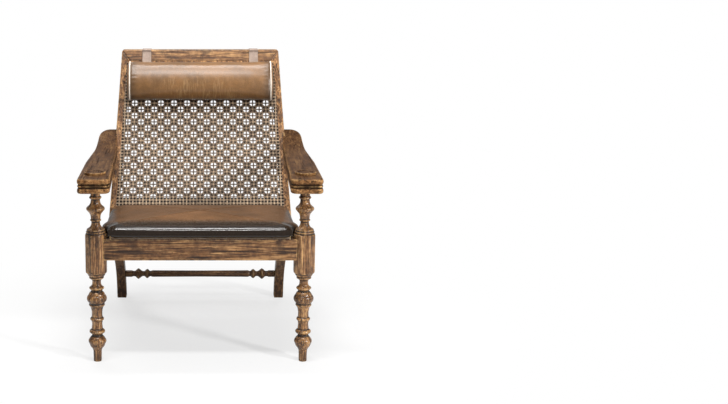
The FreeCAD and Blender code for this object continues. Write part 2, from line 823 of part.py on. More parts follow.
# rear stretcher, turned, with round tenons in the rear legs
stretcher_reach = foot_sweep + stile_depth / 2
stretcher_angle = math.asin(mm("stretcher_z") / stretcher_reach)
stretcher_y = sweep_point(stretcher_reach, stretcher_angle).y
stretcher_half = f"(foot_half + (seat_half - foot_half) * stretcher_z / knee_z - foot_width)"
stretcher_shares = [
    (0.0, 0.575), (0.645, 0.62), (0.662, 0.5), (0.676, 0.5), (0.684, 0.6), (0.7, 0.82), (0.711, 0.87),
    (0.722, 0.82), (0.738, 0.6), (0.747, 0.47), (0.77, 0.47), (0.79, 0.6), (0.82, 0.95), (0.829, 1.0),
    (0.838, 0.95), (0.862, 0.66), (0.872, 0.51), (0.908, 0.51), (0.915, 0.62), (1.0, 0.62),
]
stretcher_turnings = []
for side, sign in sides:
    half_turning = turned(
        f"stretcher_{side}",
        [(f"stretcher_bead * {r}", f"{stretcher_half} * {z}", 0) for z, r in stretcher_shares],
    )
    half_turning.Placement = Placement(Vector(), Rotation(Vector(0, 1, 0), quarter * sign))
    half_turning.Placement.Base = Vector(0, stretcher_y, 0)
    half_turning.setExpression("Placement.Base.z", cell("stretcher_z"))
    stretcher_turnings.append(half_turning)
stretcher_tenons = primitive(
    "Part::Cylinder",
    "stretcher_tenons",
    {
        "Radius": "stretcher_tenon_radius",
        "Height": f"2 * ({stretcher_half} + stretcher_tenon_length)",
    },
    (f"-{stretcher_half} - stretcher_tenon_length", "0", "stretcher_z"),
    along_x,
)
stretcher_tenons.setExpression("Placement.Base.y", None)
stretcher_tenons.Placement.Base.y = stretcher_y
stretcher = keep(fuse("stretcher", *stretcher_turnings, stretcher_tenons), "rear_stretcher")
doc.recompute()

# final seat rails, legs, posts and corner blocks, each cut for what enters it
rail_fasteners = group("rail_fasteners", corner_screw_group, seat_dowel_group)
legs_and_posts = group("legs_and_posts", *leg_blanks.values(), *post_blanks.values())
front_body = cut("front_rail_scribed", front_blank, legs_and_posts)
front_whole = fuse("front_rail_whole", front_body, *front_tenons.values())
keep(cut("front_rail", front_whole, rail_fasteners), "front_rail")
rear_body = cut("rear_rail_scribed", rear_blank, legs_and_posts)
keep(cut("rear_rail", rear_body, rail_fasteners), "rear_seat_rail")
for side, sign in sides:
    body = cut(f"side_rail_scribed_{side}", side_blanks[sign], legs_and_posts)
    whole = fuse(f"side_rail_whole_{side}", body, *side_tenons[sign])
    keep(cut(f"side_rail_{side}", whole, rail_fasteners), f"side_rail_{side}")
for side, sign in sides:
    entering = group(f"leg_mortises_{side}", front_tenons[sign], side_tenons[sign][0])
    keep(cut(f"front_leg_{side}", leg_blanks[sign], entering), f"front_leg_{side}")
    sockets = [side_tenons[sign][1], back_dowels, seat_dowel_group, stretcher, arm_screw_group]
    entering = group(f"post_mortises_{side}", *sockets)
    keep(cut(f"rear_post_{side}", post_blanks[sign], entering), f"rear_post_{side}")
corner_blocks = []
for name, blank in corner_blanks.items():
    entering = group(f"block_holes_{name}", corner_screw_group, seat_screw_group, *post_blanks.values())
    corner_blocks.append(cut(f"corner_block_{name}", blank, entering))
keep(group("corner_blocks", *corner_blocks), "corner_blocks")
keep(feature("top_rail", top_rail.cut(back_dowels.Shape)), "top_rail")
keep(feature("lower_back_rail", lower_rail.cut(back_dowels.Shape)), "lower_back_rail")
keep(feature("cane_panel", cane_sheet), "cane_panel")
keep(feature("cane_spline", spline), "cane_spline")
doc.recompute()

# arms: nine layers follow the same side line, and their edges make the moulding
slope, sweep_end = (math.radians(mm(a)) for a in ("arm_slope", "arm_sweep_end"))
sweep_y, sweep_radius = mm("arm_sweep_start"), mm("arm_sweep_radius")
arm_turn = Vector(0, sweep_y, mm("arm_height") + sweep_y * math.tan(slope))
arm_centre = arm_turn + Vector(0, -math.sin(slope), math.cos(slope)) * sweep_radius
arm_front, arm_outer, arm_inner = -mm("arm_nose"), mm("arm_outer"), mm("arm_inner_front")
inner_rate = (mm("arm_inner_rear") - arm_inner) / (sweep_y - arm_front)
outer_rate = mm("arm_taper") / (sweep_y - mm("arm_taper_start"))
root = math.sqrt(0.5)
posts = {sign: [p for p in parts if p.Label == f"rear_post_{side}"][0] for side, sign in sides}


def arm_point(depth, angle):
    reach = sweep_radius + depth
    return arm_centre + Vector(0, math.sin(angle), -math.cos(angle)) * reach


def arm_end_tool(inset):
    """What the faceted outer corner at the arm's rear end takes away."""
    radius = mm("arm_rear_corner") - inset
    end = arm_point(mm("arm_thickness") / 2, sweep_end)
    outer = arm_outer - inset - outer_rate * (end.y - mm("arm_taper_start"))
    steps = (0, math.pi / 6, math.pi / 3, math.pi / 2)
    facets = [Vector(math.cos(t), math.sin(t), 0) * radius for t in steps]
    facets += [Vector(0, 2, 0) * radius, Vector(2, 2, 0) * radius, Vector(2, 0, 0) * radius]
    tool = prism(facets, Vector(0, 0, 2 * mm("arm_thickness")))
    tool.translate(Vector(0, 0, -mm("arm_thickness")))
    turn = Rotation(Vector(1, 0, 0), math.degrees(sweep_end))
    along = Vector(0, math.cos(sweep_end), math.sin(sweep_end))
    hub = end + Vector(outer - radius, 0, 0) - along * radius
    tool.Placement = Placement(hub, turn).multiply(tool.Placement)
    return tool


def arm_layer(top, bottom, inset):
    """One layer of an arm between two depths, its edges set back by the inset."""
    forward = Vector(0, math.cos(slope), math.sin(slope)) * (sweep_y - arm_front + mm("overrun"))
    front_top, front_bottom = arm_point(top, slope) - forward, arm_point(bottom, slope) - forward
    middle = (slope + sweep_end) / 2
    side_view = wire_of(
        Part.LineSegment(front_top, arm_point(top, slope)),
        Part.Arc(*[arm_point(top, a) for a in (slope, middle, sweep_end)]),
        Part.LineSegment(arm_point(top, sweep_end), arm_point(bottom, sweep_end)),
        Part.Arc(*[arm_point(bottom, a) for a in (sweep_end, middle, slope)]),
        Part.LineSegment(arm_point(bottom, slope), front_bottom),
        Part.LineSegment(front_bottom, front_top),
    )
    slab = Part.Face(side_view).extrude(Vector(arm_outer, 0, 0))
    slab.translate(Vector(arm_inner / 2, 0, 0))
    far = sweep_y + sweep_radius
    hub_in = Vector(arm_inner + mm("arm_inner_corner"), arm_front + mm("arm_inner_corner"), 0)
    hub_out = Vector(arm_outer - mm("arm_front_corner"), arm_front + mm("arm_front_corner"), 0)
    in_r, out_r = mm("arm_inner_corner") - inset, mm("arm_front_corner") - inset
    inner_start = hub_in + Vector(-in_r, 0, 0)
    taper_start = Vector(arm_outer - inset, mm("arm_taper_start"), 0)
    far_outer = Vector(arm_outer - inset - outer_rate * (far - mm("arm_taper_start")), far, 0)
    far_inner = Vector(inner_start.x + inner_rate * (far - arm_front), far, 0)
    plan = wire_of(
        Part.Arc(inner_start, hub_in + Vector(-in_r, -in_r, 0) * root, hub_in + Vector(0, -in_r, 0)),
        Part.LineSegment(hub_in + Vector(0, -in_r, 0), hub_out + Vector(0, -out_r, 0)),
        Part.Arc(
            hub_out + Vector(0, -out_r, 0),
            hub_out + Vector(out_r, -out_r, 0) * root,
            hub_out + Vector(out_r, 0, 0),
        ),
        Part.LineSegment(hub_out + Vector(out_r, 0, 0), taper_start),
        Part.LineSegment(taper_start, far_outer),
        Part.LineSegment(far_outer, far_inner),
        Part.LineSegment(far_inner, inner_start),
    )
    layer = slab.common(Part.Face(plan).extrude(Vector(0, 0, 2 * mm("arm_height"))))
    return layer.cut(arm_end_tool(inset))


groove_depth, bead_depth = mm("arm_groove_depth"), mm("arm_bead_depth")
rim, rim_depth = mm("arm_rim"), mm("arm_rim_depth")
torus = mm("arm_torus") - 2 * rim
groove, bead_height = mm("arm_groove"), mm("arm_bead")
last_torus = mm("arm_thickness") - mm("arm_torus") - 2 * groove - bead_height - 2 * rim
bands = [
    (rim, rim_depth), (torus, 0), (rim, rim_depth), (groove, groove_depth), (bead_height, bead_depth),
    (groove, groove_depth), (rim, rim_depth), (last_torus, 0), (rim, rim_depth),
]
layers, level = [], 0
for height, inset in bands:
    layers.append(arm_layer(level, level + height, inset))
    level += height
for side, sign in sides:
    own = layers if sign == right else [mirrored(layer) for layer in layers]
    arm_blank = own[0].multiFuse(own[1:]).removeSplitter()
    for entering in (arm_screw_group, posts[sign], tenons[sign]):
        arm_blank = arm_blank.cut(entering.Shape)
    keep(feature(f"arm_{side}", arm_blank), f"arm_{side}")
roundel_shares = [
    (1.0, 0.0, 0), (1.0, 0.6, 0), (0.93, 1.0, 0.3), (0.84, 1.0, 0), (0.72, 0.66, 0.1), (0.02, 0.8, -0.03),
]
for side, sign in sides:
    roundel = turned(
        f"roundel_{side}",
        [(f"roundel_radius * {r}", f"roundel_height * {z}", b) for r, z, b in roundel_shares],
        "arm_height",
    )
    roundel.Placement = Placement(Vector(), Rotation(Vector(1, 0, 0), mm("arm_slope")))
    roundel.setExpression("Placement.Base.x", cell(f"{sign} * leg_offset"))
    roundel.setExpression("Placement.Base.z", "sizes.arm_height")
    keep(roundel, f"arm_roundel_{side}")
doc.recompute()

# the seat's pieces are laid out level, then tipped with the rails about the front rail's top edge
seat_front = mm("rail_setback") - mm("block_flat") / 2
tip_angle = math.degrees(math.atan(mm("seat_fall_rate")))
seat_place = Placement(Vector(0, seat_front, mm("rail_top")), Rotation(Vector(1, 0, 0), -tip_angle))


def levelled(shape):
    """A copy of a shape of the standing chair in the seat's level layout."""
    moved = shape.copy()
    moved.transformShape(seat_place.inverse().toMatrix())
    return moved


def seated(name, shape):
    solid = feature(name, shape)
    solid.Placement = seat_place
    return keep(solid, name)


def seat_outline(inset, level, tail=0):
    half, front = mm("pad_half_width") - inset, inset - mm("pad_overhang")
    rear = mm("pad_length") - mm("pad_overhang") - inset + tail
    notch_x = mm("leg_offset") - mm("block_flat") / 2 - mm("notch_margin") - inset
    notch_y = mm("block_flat") / 2 + mm("notch_margin") - seat_front + inset
    ring = [(notch_x, front), (notch_x, notch_y), (half, notch_y), (half, rear)]
    ring = [(-x, y) for x, y in reversed(ring)] + ring
    return [Vector(x, y, level) for x, y in ring]


def ring_wire(corners):
    return Part.makePolygon([*corners, corners[0]])


def slab_of(inset, low, high, tail=0):
    return Part.Face(ring_wire(seat_outline(inset, low, tail))).extrude(Vector(0, 0, high - low))


posts_level = [levelled(post_blank), levelled(mirrored(post_blank))]
screws_level = levelled(seat_screw_group.Shape)
in_front_of_back = levelled(
    back_band(-mm("soft_gap"), mm("arm_outer"), lower_low - mm("overrun"), mm("arm_height"))
)
board_blank = slab_of(mm("board_inset"), 0, mm("board_thickness"), mm("board_tail"))
side_shares = [(0.0, 1.0), (0.15, 0.24), (0.35, 0.0), (0.7, 0.12), (1.0, 0.6), (2.0, 0.8)]
welt_top, pad_edge, pad_crown = mm("welt_height"), mm("pad_edge"), mm("pad_crown")
side_walls = Part.makeLoft(
    [
        ring_wire(seat_outline(mm("pad_draw") * draw, welt_top + (pad_edge - welt_top) * rise))
        for rise, draw in side_shares
    ],
    True,
    True,
)
crown_shares = [
    (-0.1, 1.04), (0.5, 1.012), (0.56, 0.991), (0.6, 0.975), (0.65, 0.94), (0.72, 0.86),
    (0.8, 0.73), (0.88, 0.55), (0.94, 0.38), (0.98, 0.21), (1.0, 0.06),
]
pad_centre = Vector(0, mm("pad_length") / 2 - mm("pad_overhang"), 0)


def crown_wire(level, share):
    half_x, half_y = mm("pad_half_width") * share, mm("pad_length") / 2 * share
    ring = [(-half_x, -half_y), (half_x, -half_y), (half_x, half_y), (-half_x, half_y)]
    return ring_wire([pad_centre + Vector(x, y, level) for x, y in ring])


crown = Part.makeLoft([crown_wire(pad_crown * z, s) for z, s in crown_shares], True, True)
pad_solid = side_walls.common(crown)
reach = Vector(mm("pad_half_width"), mm("pad_length") / 2, 0)
for end in (1, -1):
    along = Vector(reach.x, reach.y * end, 0)
    across = Vector(-along.y, along.x, 0).normalize() * (mm("seam_width") / 2)
    ring = [along + across, across - along, -along - across, along - across]
    strip = prism([pad_centre + v for v in ring], Vector(0, 0, 2 * pad_crown))
    below = crown.copy()
    below.translate(Vector(0, 0, -mm("seam_depth")))
    pad_solid = pad_solid.cut(strip.cut(below).common(crown))
pad_solid = pad_solid.cut(board_blank).cut(in_front_of_back)

nail_front = -mm("pad_overhang")
nails = []
nail_radius = mm("nail_radius")
nail_rows = ((welt_top / 2, mm("welt_inset")), (welt_top + nail_radius * 3, mm("seam_depth")))
for x in (-mm("nail_offset"), mm("nail_offset")):
    for level, inset in nail_rows:
        start = Vector(x, nail_front + inset, level)
        dome = Part.makeCone(nail_radius, nail_radius / 2, mm("nail_height"), start, Vector(0, -1, 0))
        shank = Part.makeCylinder(nail_radius / 3, mm("nail_length"), start, Vector(0, 1, 0))
        nails.append(dome.fuse(shank))
nail_set = Part.makeCompound(nails)
welt = slab_of(mm("welt_inset"), 0, welt_top).cut(slab_of(mm("welt_inset") + mm("welt_width"), 0, welt_top))
welt = welt.cut(Part.makeCompound([*posts_level, in_front_of_back])).cut(board_blank).cut(nail_set)
behind_pad = levelled(lower_rail)
board = board_blank.cut(Part.makeCompound([*posts_level, behind_pad, screws_level])).cut(nail_set)
cover_tacks, cover_low = [], -mm("dust_cover_thickness")
rear_of_front_rail = mm("rail_thickness")
rear_reach = mm("rear_rail_front") - seat_front
side_reach = mm("side_rail_outer") - mm("side_rail_thickness")
tack_radius, cover_run = mm("tack_radius"), rear_reach - rear_of_front_rail
tack_shares = [(side, y) for side in (-0.95, 0.95) for y in (0.25, 0.5, 0.75)]
tack_shares += [(x, end) for x in (-0.45, 0.0, 0.45) for end in (0.04, 0.96)]
for x_share, y_share in tack_shares:
    start = Vector(side_reach * x_share, rear_of_front_rail + cover_run * y_share, cover_low)
    head = Part.makeCone(tack_radius, tack_radius / 2, mm("tack_height"), start, Vector(0, 0, -1))
    shank = Part.makeCylinder(tack_radius / 5, mm("tack_length"), start)
    cover_tacks.append(head.fuse(shank))
tack_set = Part.makeCompound(cover_tacks)
cover_front = rear_of_front_rail + mm("soft_gap")
cover = Part.makeBox(
    2 * side_reach,
    rear_reach - cover_front,
    mm("dust_cover_thickness"),
    Vector(-side_reach, cover_front, cover_low),
)
leg_level = levelled(Part.makeCompound([leg_blanks[s].Shape for s in (left, right)]))
cover = cover.cut(Part.makeCompound([*posts_level, screws_level])).cut(tack_set).cut(leg_level)
seated("seat_board", board.cut(tack_set))
seated("seat_pad", pad_solid.cut(nail_set))
seated("seat_welt", welt)
seated("leather_nails", nail_set)
seated("dust_cover", cover)
seated("dust_cover_tacks", tack_set)

# head roll: a flattened bolster with piped ends, on straps that hinge at the top rail's front edge
nose_share = 0.42
roll_lean = lean(mm("roll_centre"))
roll_origin = back_point(-mm("roll_gap") - mm("roll_thickness") / 2, roll_lean)
roll_place = Placement(roll_origin, Rotation(Vector(1, 0, 0), -math.degrees(roll_lean)))


def roll_section(x, height, thickness):
    """An oval of four arcs that meet smoothly: two noses, and two flatter sides."""
    long, short = height / 2, thickness / 2
    nose = long * nose_share
    side = ((long - nose) ** 2 + short**2 - nose**2) / (2 * (short - nose))
    nose_angle = math.atan2(side - short, long - nose)

    def on_nose(up, angle):
        return Vector(x, nose * math.sin(angle), up * (long - nose + nose * math.cos(angle)))

    def on_side(face, angle):
        return Vector(x, face * (side * math.cos(angle) - side + short), side * math.sin(angle))

    swing = math.pi / 2 - nose_angle
    turn = math.pi / 2 - swing
    return wire_of(
        Part.Arc(on_nose(1, -turn), on_nose(1, 0), on_nose(1, turn)),
        Part.Arc(on_side(1, swing), on_side(1, 0), on_side(1, -swing)),
        Part.Arc(on_nose(-1, turn), on_nose(-1, 0), on_nose(-1, -turn)),
        Part.Arc(on_side(-1, -swing), on_side(-1, 0), on_side(-1, swing)),
    )


def roll_at(share, width):
    """The section at a share of the half length, drawn in where the share of its size is lower."""
    x = mm("roll_length") / 2 * share
    return roll_section(x, mm("roll_height") * width, mm("roll_thickness") * width)


swell_shares = [(1.0, 0.88), (0.985, 0.94), (0.95, 0.97), (0.8, 0.99), (0.4, 1.0)]
stations = [(-x, w) for x, w in swell_shares] + [(0, 1.0)] + [(x, w) for x, w in reversed(swell_shares)]
roll = Part.makeLoft([roll_at(x, w) for x, w in stations], True, False)
piping_x = mm("roll_length") / 2 - mm("piping_inset")
path = roll_section(piping_x, mm("roll_height") * 0.97, mm("roll_thickness") * 0.97)
start, heading = path.Vertexes[0].Point, path.Edges[0].tangentAt(path.Edges[0].FirstParameter)
cord = path.makePipeShell([Part.Wire([Part.makeCircle(mm("piping_radius"), start, heading)])], True, True)
piping = [cord, mirrored(cord)]
for cord in piping:
    roll = roll.cut(cord)

hinge_lean = lean(back_top)
eye_offset = mm("eye_radius") + mm("strap_gap")
hinge_height = back_top + mm("saddle_thickness") - mm("eye_radius")
hinge_y = back_point(0, lean(hinge_height)).y - eye_offset / math.cos(hinge_lean)
print("hinge", round(hinge_y, 2), round(hinge_height, 2))
knuckle = mm("strap_width") * mm("knuckle_share")


def across_strap(x, inset, radius):
    """A round bar along the hinge line, centred on a strap."""
    length = mm("strap_width") - 2 * inset
    return Part.makeCylinder(radius, length, Vector(x - length / 2, hinge_y, hinge_height), Vector(1, 0, 0))


def strap_slab(shape, x, inset=0):
    length = mm("strap_width") - 2 * inset
    gate = Part.makeBox(length, depth_reach, depth_reach, Vector(x - length / 2, 0, 0))
    return shape.common(gate)


strap_low, strap_near = mm("strap_end"), -mm("strap_gap") - mm("strap_thickness")
strap_band = back_band(strap_near, -mm("strap_gap"), strap_low, hinge_height)
saddle_high = back_top + mm("saddle_thickness")
saddle_depth = rear_rail_depth + mm("saddle_thickness")
tail_low = back_top - mm("strap_tail")
saddle_back = back_band(rear_rail_depth, saddle_depth, tail_low, saddle_high + mm("overrun"))
below_top = Part.makeBox(2 * depth_reach, 2 * depth_reach, saddle_high, Vector(-depth_reach, 0, 0))
saddle_back = saddle_back.common(below_top)
top_lean_far = math.asin((scoop_centre.z - saddle_high) / (back_radius + saddle_depth))
saddle_rear = back_point(saddle_depth, top_lean_far).y
straps, saddles, pins, studs = [], [], [], []
stud_radius = mm("stud_radius")
for side, sign in sides:
    x = sign * mm("strap_offset")
    tongue_inset = knuckle + mm("pin_clearance")
    disc = across_strap(x, 0, mm("eye_radius"))
    middle_disc = across_strap(x, tongue_inset, mm("eye_radius"))
    pin = across_strap(x, 0, mm("pin_radius"))
    free = mm("eye_radius") + mm("pin_clearance")
    strap = strap_slab(strap_band, x).cut(across_strap(x, -mm("pin_clearance"), free))
    tongue = strap_slab(strap_band, x, tongue_inset).fuse(middle_disc)
    strap = strap.fuse(tongue).cut(across_strap(x, 0, mm("pin_radius") + mm("pin_clearance")))
    strip = Part.makeBox(
        mm("strap_width"),
        saddle_rear - hinge_y,
        mm("saddle_thickness"),
        Vector(x - mm("strap_width") / 2, hinge_y, back_top),
    )
    saddle = strip.fuse(strap_slab(saddle_back, x)).fuse(disc).cut(across_strap(x, knuckle, free))
    rail_band = strap_slab(back_band(0, rear_rail_depth, rail_low, back_top + mm("overrun")), x)
    under_top = Part.makeBox(2 * depth_reach, 2 * depth_reach, back_top, Vector(-depth_reach, 0, 0))
    rail_clear = rail_band.common(under_top)
    saddle = saddle.cut(rail_clear).cut(pin)
    stud_lean = lean(back_top - mm("strap_tail") / 2)
    outward = Vector(0, math.cos(stud_lean), -math.sin(stud_lean))
    for end in (-1, 1):
        spot = back_point(saddle_depth, stud_lean, x + end * mm("stud_spacing") / 2)
        dome = Part.makeCone(stud_radius, stud_radius / 2, mm("stud_height"), spot, outward)
        shank = Part.makeCylinder(stud_radius / 4, mm("stud_length"), spot, outward * -1)
        studs.append(dome.fuse(shank))
    pins.append(pin)
    straps.append((f"strap_{side}", strap))
    saddles.append((f"strap_saddle_{side}", saddle))
stud_set = Part.makeCompound(studs)
for name, shape in saddles:
    keep(feature(name, shape.cut(stud_set)), name)
for name, shape in straps:
    keep(feature(name, shape), name)
keep(feature("strap_studs", stud_set), "strap_studs")
keep(feature("strap_pins", Part.makeCompound(pins)), "strap_pins")
strap_set = Part.makeCompound([shape for name, shape in straps])
strap_set.transformShape(roll_place.inverse().toMatrix())
piping_set = Part.makeCompound(piping).cut(strap_set)
for name, shape in (("head_roll", roll.cut(strap_set)), ("head_roll_piping", piping_set)):
    piece = feature(name, shape)
    piece.Placement = roll_place
    keep(piece, name)
top_piece = [p for p in parts if p.Label == "top_rail"][0]
top_piece.Shape = top_piece.Shape.cut(stud_set)
top_piece.Placement = Placement()

doc.recompute()
for obj in doc.Objects:
    if "Invalid" in obj.State or "Error" in obj.State:
        raise ValueError(f"{obj.Label} did not recompute: {obj.State}")
for piece in parts:
    if piece.Shape.isNull() or not piece.Shape.isValid() or not piece.Shape.Solids:
        raise ValueError(f"{piece.Label} has no valid solid")

# every piece is written with the middle of the chair's base over the origin
whole = FreeCAD.BoundBox()
for piece in parts:
    whole.add(piece.Shape.optimalBoundingBox())
to_middle = Vector(0, -whole.Center.y, 0)
for piece in parts:
    shape = piece.Shape.translated(to_middle)
    shape.exportStep(f"parts/{piece.Label}.step")
    print(piece.Label, len(shape.Solids), round(shape.Volume), shape.optimalBoundingBox())
print("pieces", len(parts), "moved", to_middle, "box", whole)
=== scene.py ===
import math
import bpy
import numpy as np
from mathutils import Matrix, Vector


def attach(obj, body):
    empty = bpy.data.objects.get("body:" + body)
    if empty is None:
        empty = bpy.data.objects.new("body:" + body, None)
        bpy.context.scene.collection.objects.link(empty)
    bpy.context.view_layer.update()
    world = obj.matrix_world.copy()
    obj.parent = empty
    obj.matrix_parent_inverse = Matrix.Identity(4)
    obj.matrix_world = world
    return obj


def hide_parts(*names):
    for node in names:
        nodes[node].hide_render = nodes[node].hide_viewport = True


# A planters chair: worn hardwood, a woven cane back, a leather seat and a head roll on two straps.
# Lengths in the dictionaries are millimetres. The chair faces -Y and stands on z = 0.

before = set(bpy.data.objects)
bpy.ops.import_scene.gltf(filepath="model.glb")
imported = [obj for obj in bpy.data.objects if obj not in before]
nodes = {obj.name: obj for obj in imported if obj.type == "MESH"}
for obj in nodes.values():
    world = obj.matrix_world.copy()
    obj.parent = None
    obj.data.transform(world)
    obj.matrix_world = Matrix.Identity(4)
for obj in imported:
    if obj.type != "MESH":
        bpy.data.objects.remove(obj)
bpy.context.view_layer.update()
scene = bpy.context.scene
print("stage: frame loaded", len(nodes), "nodes")


def pickOnly(piece):
    bpy.ops.object.select_all(action="DESELECT")
    piece.select_set(True)
    bpy.context.view_layer.objects.active = piece
    return piece


def withModifier(piece, kind, **settings):
    pickOnly(piece)
    modifier = piece.modifiers.new(kind.lower(), kind)
    for key, value in settings.items():
        setattr(modifier, key, value)
    bpy.ops.object.modifier_apply(modifier=modifier.name)
    return piece


def spotsOf(piece):
    spots = np.empty(len(piece.data.vertices) * 3)
    piece.data.vertices.foreach_get("co", spots)
    return spots.reshape(-1, 3)


def placeSpots(piece, spots):
    piece.data.vertices.foreach_set("co", np.asarray(spots, dtype=np.float32).ravel())
    piece.data.update()


def normalsOf(piece):
    normals = np.empty(len(piece.data.vertices) * 3)
    piece.data.vertex_normals.foreach_get("vector", normals)
    return normals.reshape(-1, 3)


def storeMask(piece, name, values):
    layer = piece.data.attributes.new(name, "FLOAT", "POINT")
    layer.data.foreach_set("value", np.asarray(values, dtype=np.float32))


def ramped(values, low, high):
    t = np.clip((values - low) / (high - low), 0, 1)
    return t * t * (3 - 2 * t)


def dress(piece, material, body="chair"):
    piece.data.materials.clear()
    piece.data.materials.append(material)
    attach(piece, body)
    return piece


def copyOf(node, name):
    piece = bpy.data.objects.new(name, nodes[node].data.copy())
    scene.collection.objects.link(piece)
    pickOnly(piece)
    bpy.ops.object.mode_set(mode="EDIT")
    bpy.ops.mesh.select_all(action="SELECT")
    bpy.ops.mesh.remove_doubles(threshold=1e-5)
    bpy.ops.object.mode_set(mode="OBJECT")
    return piece


def bendOf(piece, spread):
    edges = np.empty(len(piece.data.edges) * 2, dtype=np.int32)
    piece.data.edges.foreach_get("vertices", edges)
    a, b = edges.reshape(-1, 2).T
    spots, normals = spotsOf(piece), normalsOf(piece)
    run = spots[b] - spots[a]
    length = np.maximum(np.einsum("ij,ij->i", run, run), 1e-12)
    count = len(spots)
    links = np.maximum(np.bincount(a, minlength=count) + np.bincount(b, minlength=count), 1)
    bend = np.bincount(a, 2 * np.einsum("ij,ij->i", normals[a], run) / length, count)
    bend -= np.bincount(b, 2 * np.einsum("ij,ij->i", normals[b], run) / length, count)
    bend /= links
    for _ in range(spread):
        bend = 0.4 * bend + 0.6 * (np.bincount(a, bend[b], count) + np.bincount(b, bend[a], count)) / links
    return bend                     # per metre: below zero on a ridge, above it in a hollow


wearAndShading = {"ridge": (34, 150), "hollow": (8, 60), "wideHollow": (4, 26), "wideSpread": 26}


# Hollows get a darker mark: painted shade, with some grime.
def markWearAndShading(piece, spread=4, grimeAndShade=1.0):
    bend, wide = bendOf(piece, spread), bendOf(piece, wearAndShading["wideSpread"])
    hollow = np.maximum(ramped(bend, *wearAndShading["hollow"]), ramped(wide, *wearAndShading["wideHollow"]))
    # Ridges get a lighter mark: partly real wear, partly painted highlight.
    storeMask(piece, "edgeWear", ramped(-bend, *wearAndShading["ridge"]))
    storeMask(piece, "hollow", grimeAndShade * hollow)


# A copy of a CAD piece with softened edges, in place of it.
def wornCopy(node, name, voxel, rounds):
    piece = copyOf(node, name)
    withModifier(piece, "REMESH", mode="VOXEL", voxel_size=voxel / 1000, use_smooth_shade=True)
    withModifier(piece, "SMOOTH", factor=0.5, iterations=rounds)
    markWearAndShading(piece)
    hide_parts(node)
    return piece


# A socket whose operators add Math nodes, so a finish reads as plain sums.
class Wire:
    def __init__(self, tree, port=None):
        self.tree = tree
        self.port = port

    def node(self, kind, settings, sockets, output=0):
        made = self.tree.nodes.new(kind)
        for key, value in settings.items():
            if key == "stops":
                ramp = made.color_ramp
                while len(ramp.elements) < len(value):
                    ramp.elements.new(1)
                for mark, (place, colour) in zip(ramp.elements, value):
                    mark.position = place
                    mark.color = (*colour, 1)
            else:
                setattr(made, key, value)
        for key, value in sockets.items():
            if isinstance(value, Wire):
                self.tree.links.new(value.port, made.inputs[key])
            else:
                made.inputs[key].default_value = value
        return Wire(self.tree, made.outputs[output])

    def maths(self, operation, *others):
        return self.node("ShaderNodeMath", {"operation": operation}, dict(enumerate((self, *others))))

    def __add__(self, other):
        return self.maths("ADD", other)

    __radd__ = __add__

    def __sub__(self, other):
        return self.maths("SUBTRACT", other)

    def __rsub__(self, other):
        return self.maths("MULTIPLY_ADD", -1, other)

    def __mul__(self, other):
        return self.maths("MULTIPLY", other)

    __rmul__ = __mul__

    def within(self, low, high):
        sockets = {"Value": self, "From Min": low, "From Max": high}
        return self.node("ShaderNodeMapRange", {"interpolation_type": "SMOOTHSTEP"}, sockets)

    def tinted(self, base, over):
        below, above = [c if isinstance(c, Wire) else (*c, 1) for c in (base, over)]
        return self.node("ShaderNodeMix", {"data_type": "RGBA"}, {0: self, 6: below, 7: above}, 2)

    def stretched(self, scale):
        return self.node("ShaderNodeMapping", {}, {"Vector": self, "Scale": scale})

    def noise(self, scale, detail=4, rough=0.55, twist=0, output=0):
        sockets = {"Vector": self, "Scale": scale, "Detail": detail, "Roughness": rough, "Distortion": twist}
        return self.node("ShaderNodeTexNoise", {}, sockets, output)

    def cells(self, scale, feature="F1"):
        return self.node("ShaderNodeTexVoronoi", {"feature": feature}, {"Vector": self, "Scale": scale})

    def mask(self, name):
        return self.node("ShaderNodeAttribute", {"attribute_name": name}, {}, 2)


def newFinish(name):
    material = bpy.data.materials.new(name)
    material.use_nodes = True
    wire = Wire(material.node_tree)
    return material, wire, wire.node("ShaderNodeTexCoord", {}, {}, 3)


def shaderOf(material, height, reach, strength, **sockets):
    shader = material.node_tree.nodes["Principled BSDF"]
    wire = Wire(material.node_tree)
    if height is not None:
        sockets["Normal"] = wire.node(
            "ShaderNodeBump", {}, {"Height": height, "Distance": reach / 1000, "Strength": strength}
        )
    for key, value in sockets.items():
        socket = shader.inputs[key.replace("_", " ")]
        if isinstance(value, Wire):
            material.node_tree.links.new(value.port, socket)
        else:
            socket.default_value = value
    return material


woodLook = {
    "dark": (0.028, 0.012, 0.005), "middle": (0.215, 0.095, 0.034), "light": (0.64, 0.36, 0.145),
    "wearAndHighlight": (0.74, 0.46, 0.19), "grimeAndShade": (0.006, 0.0032, 0.002), "roughness": 0.34,
}
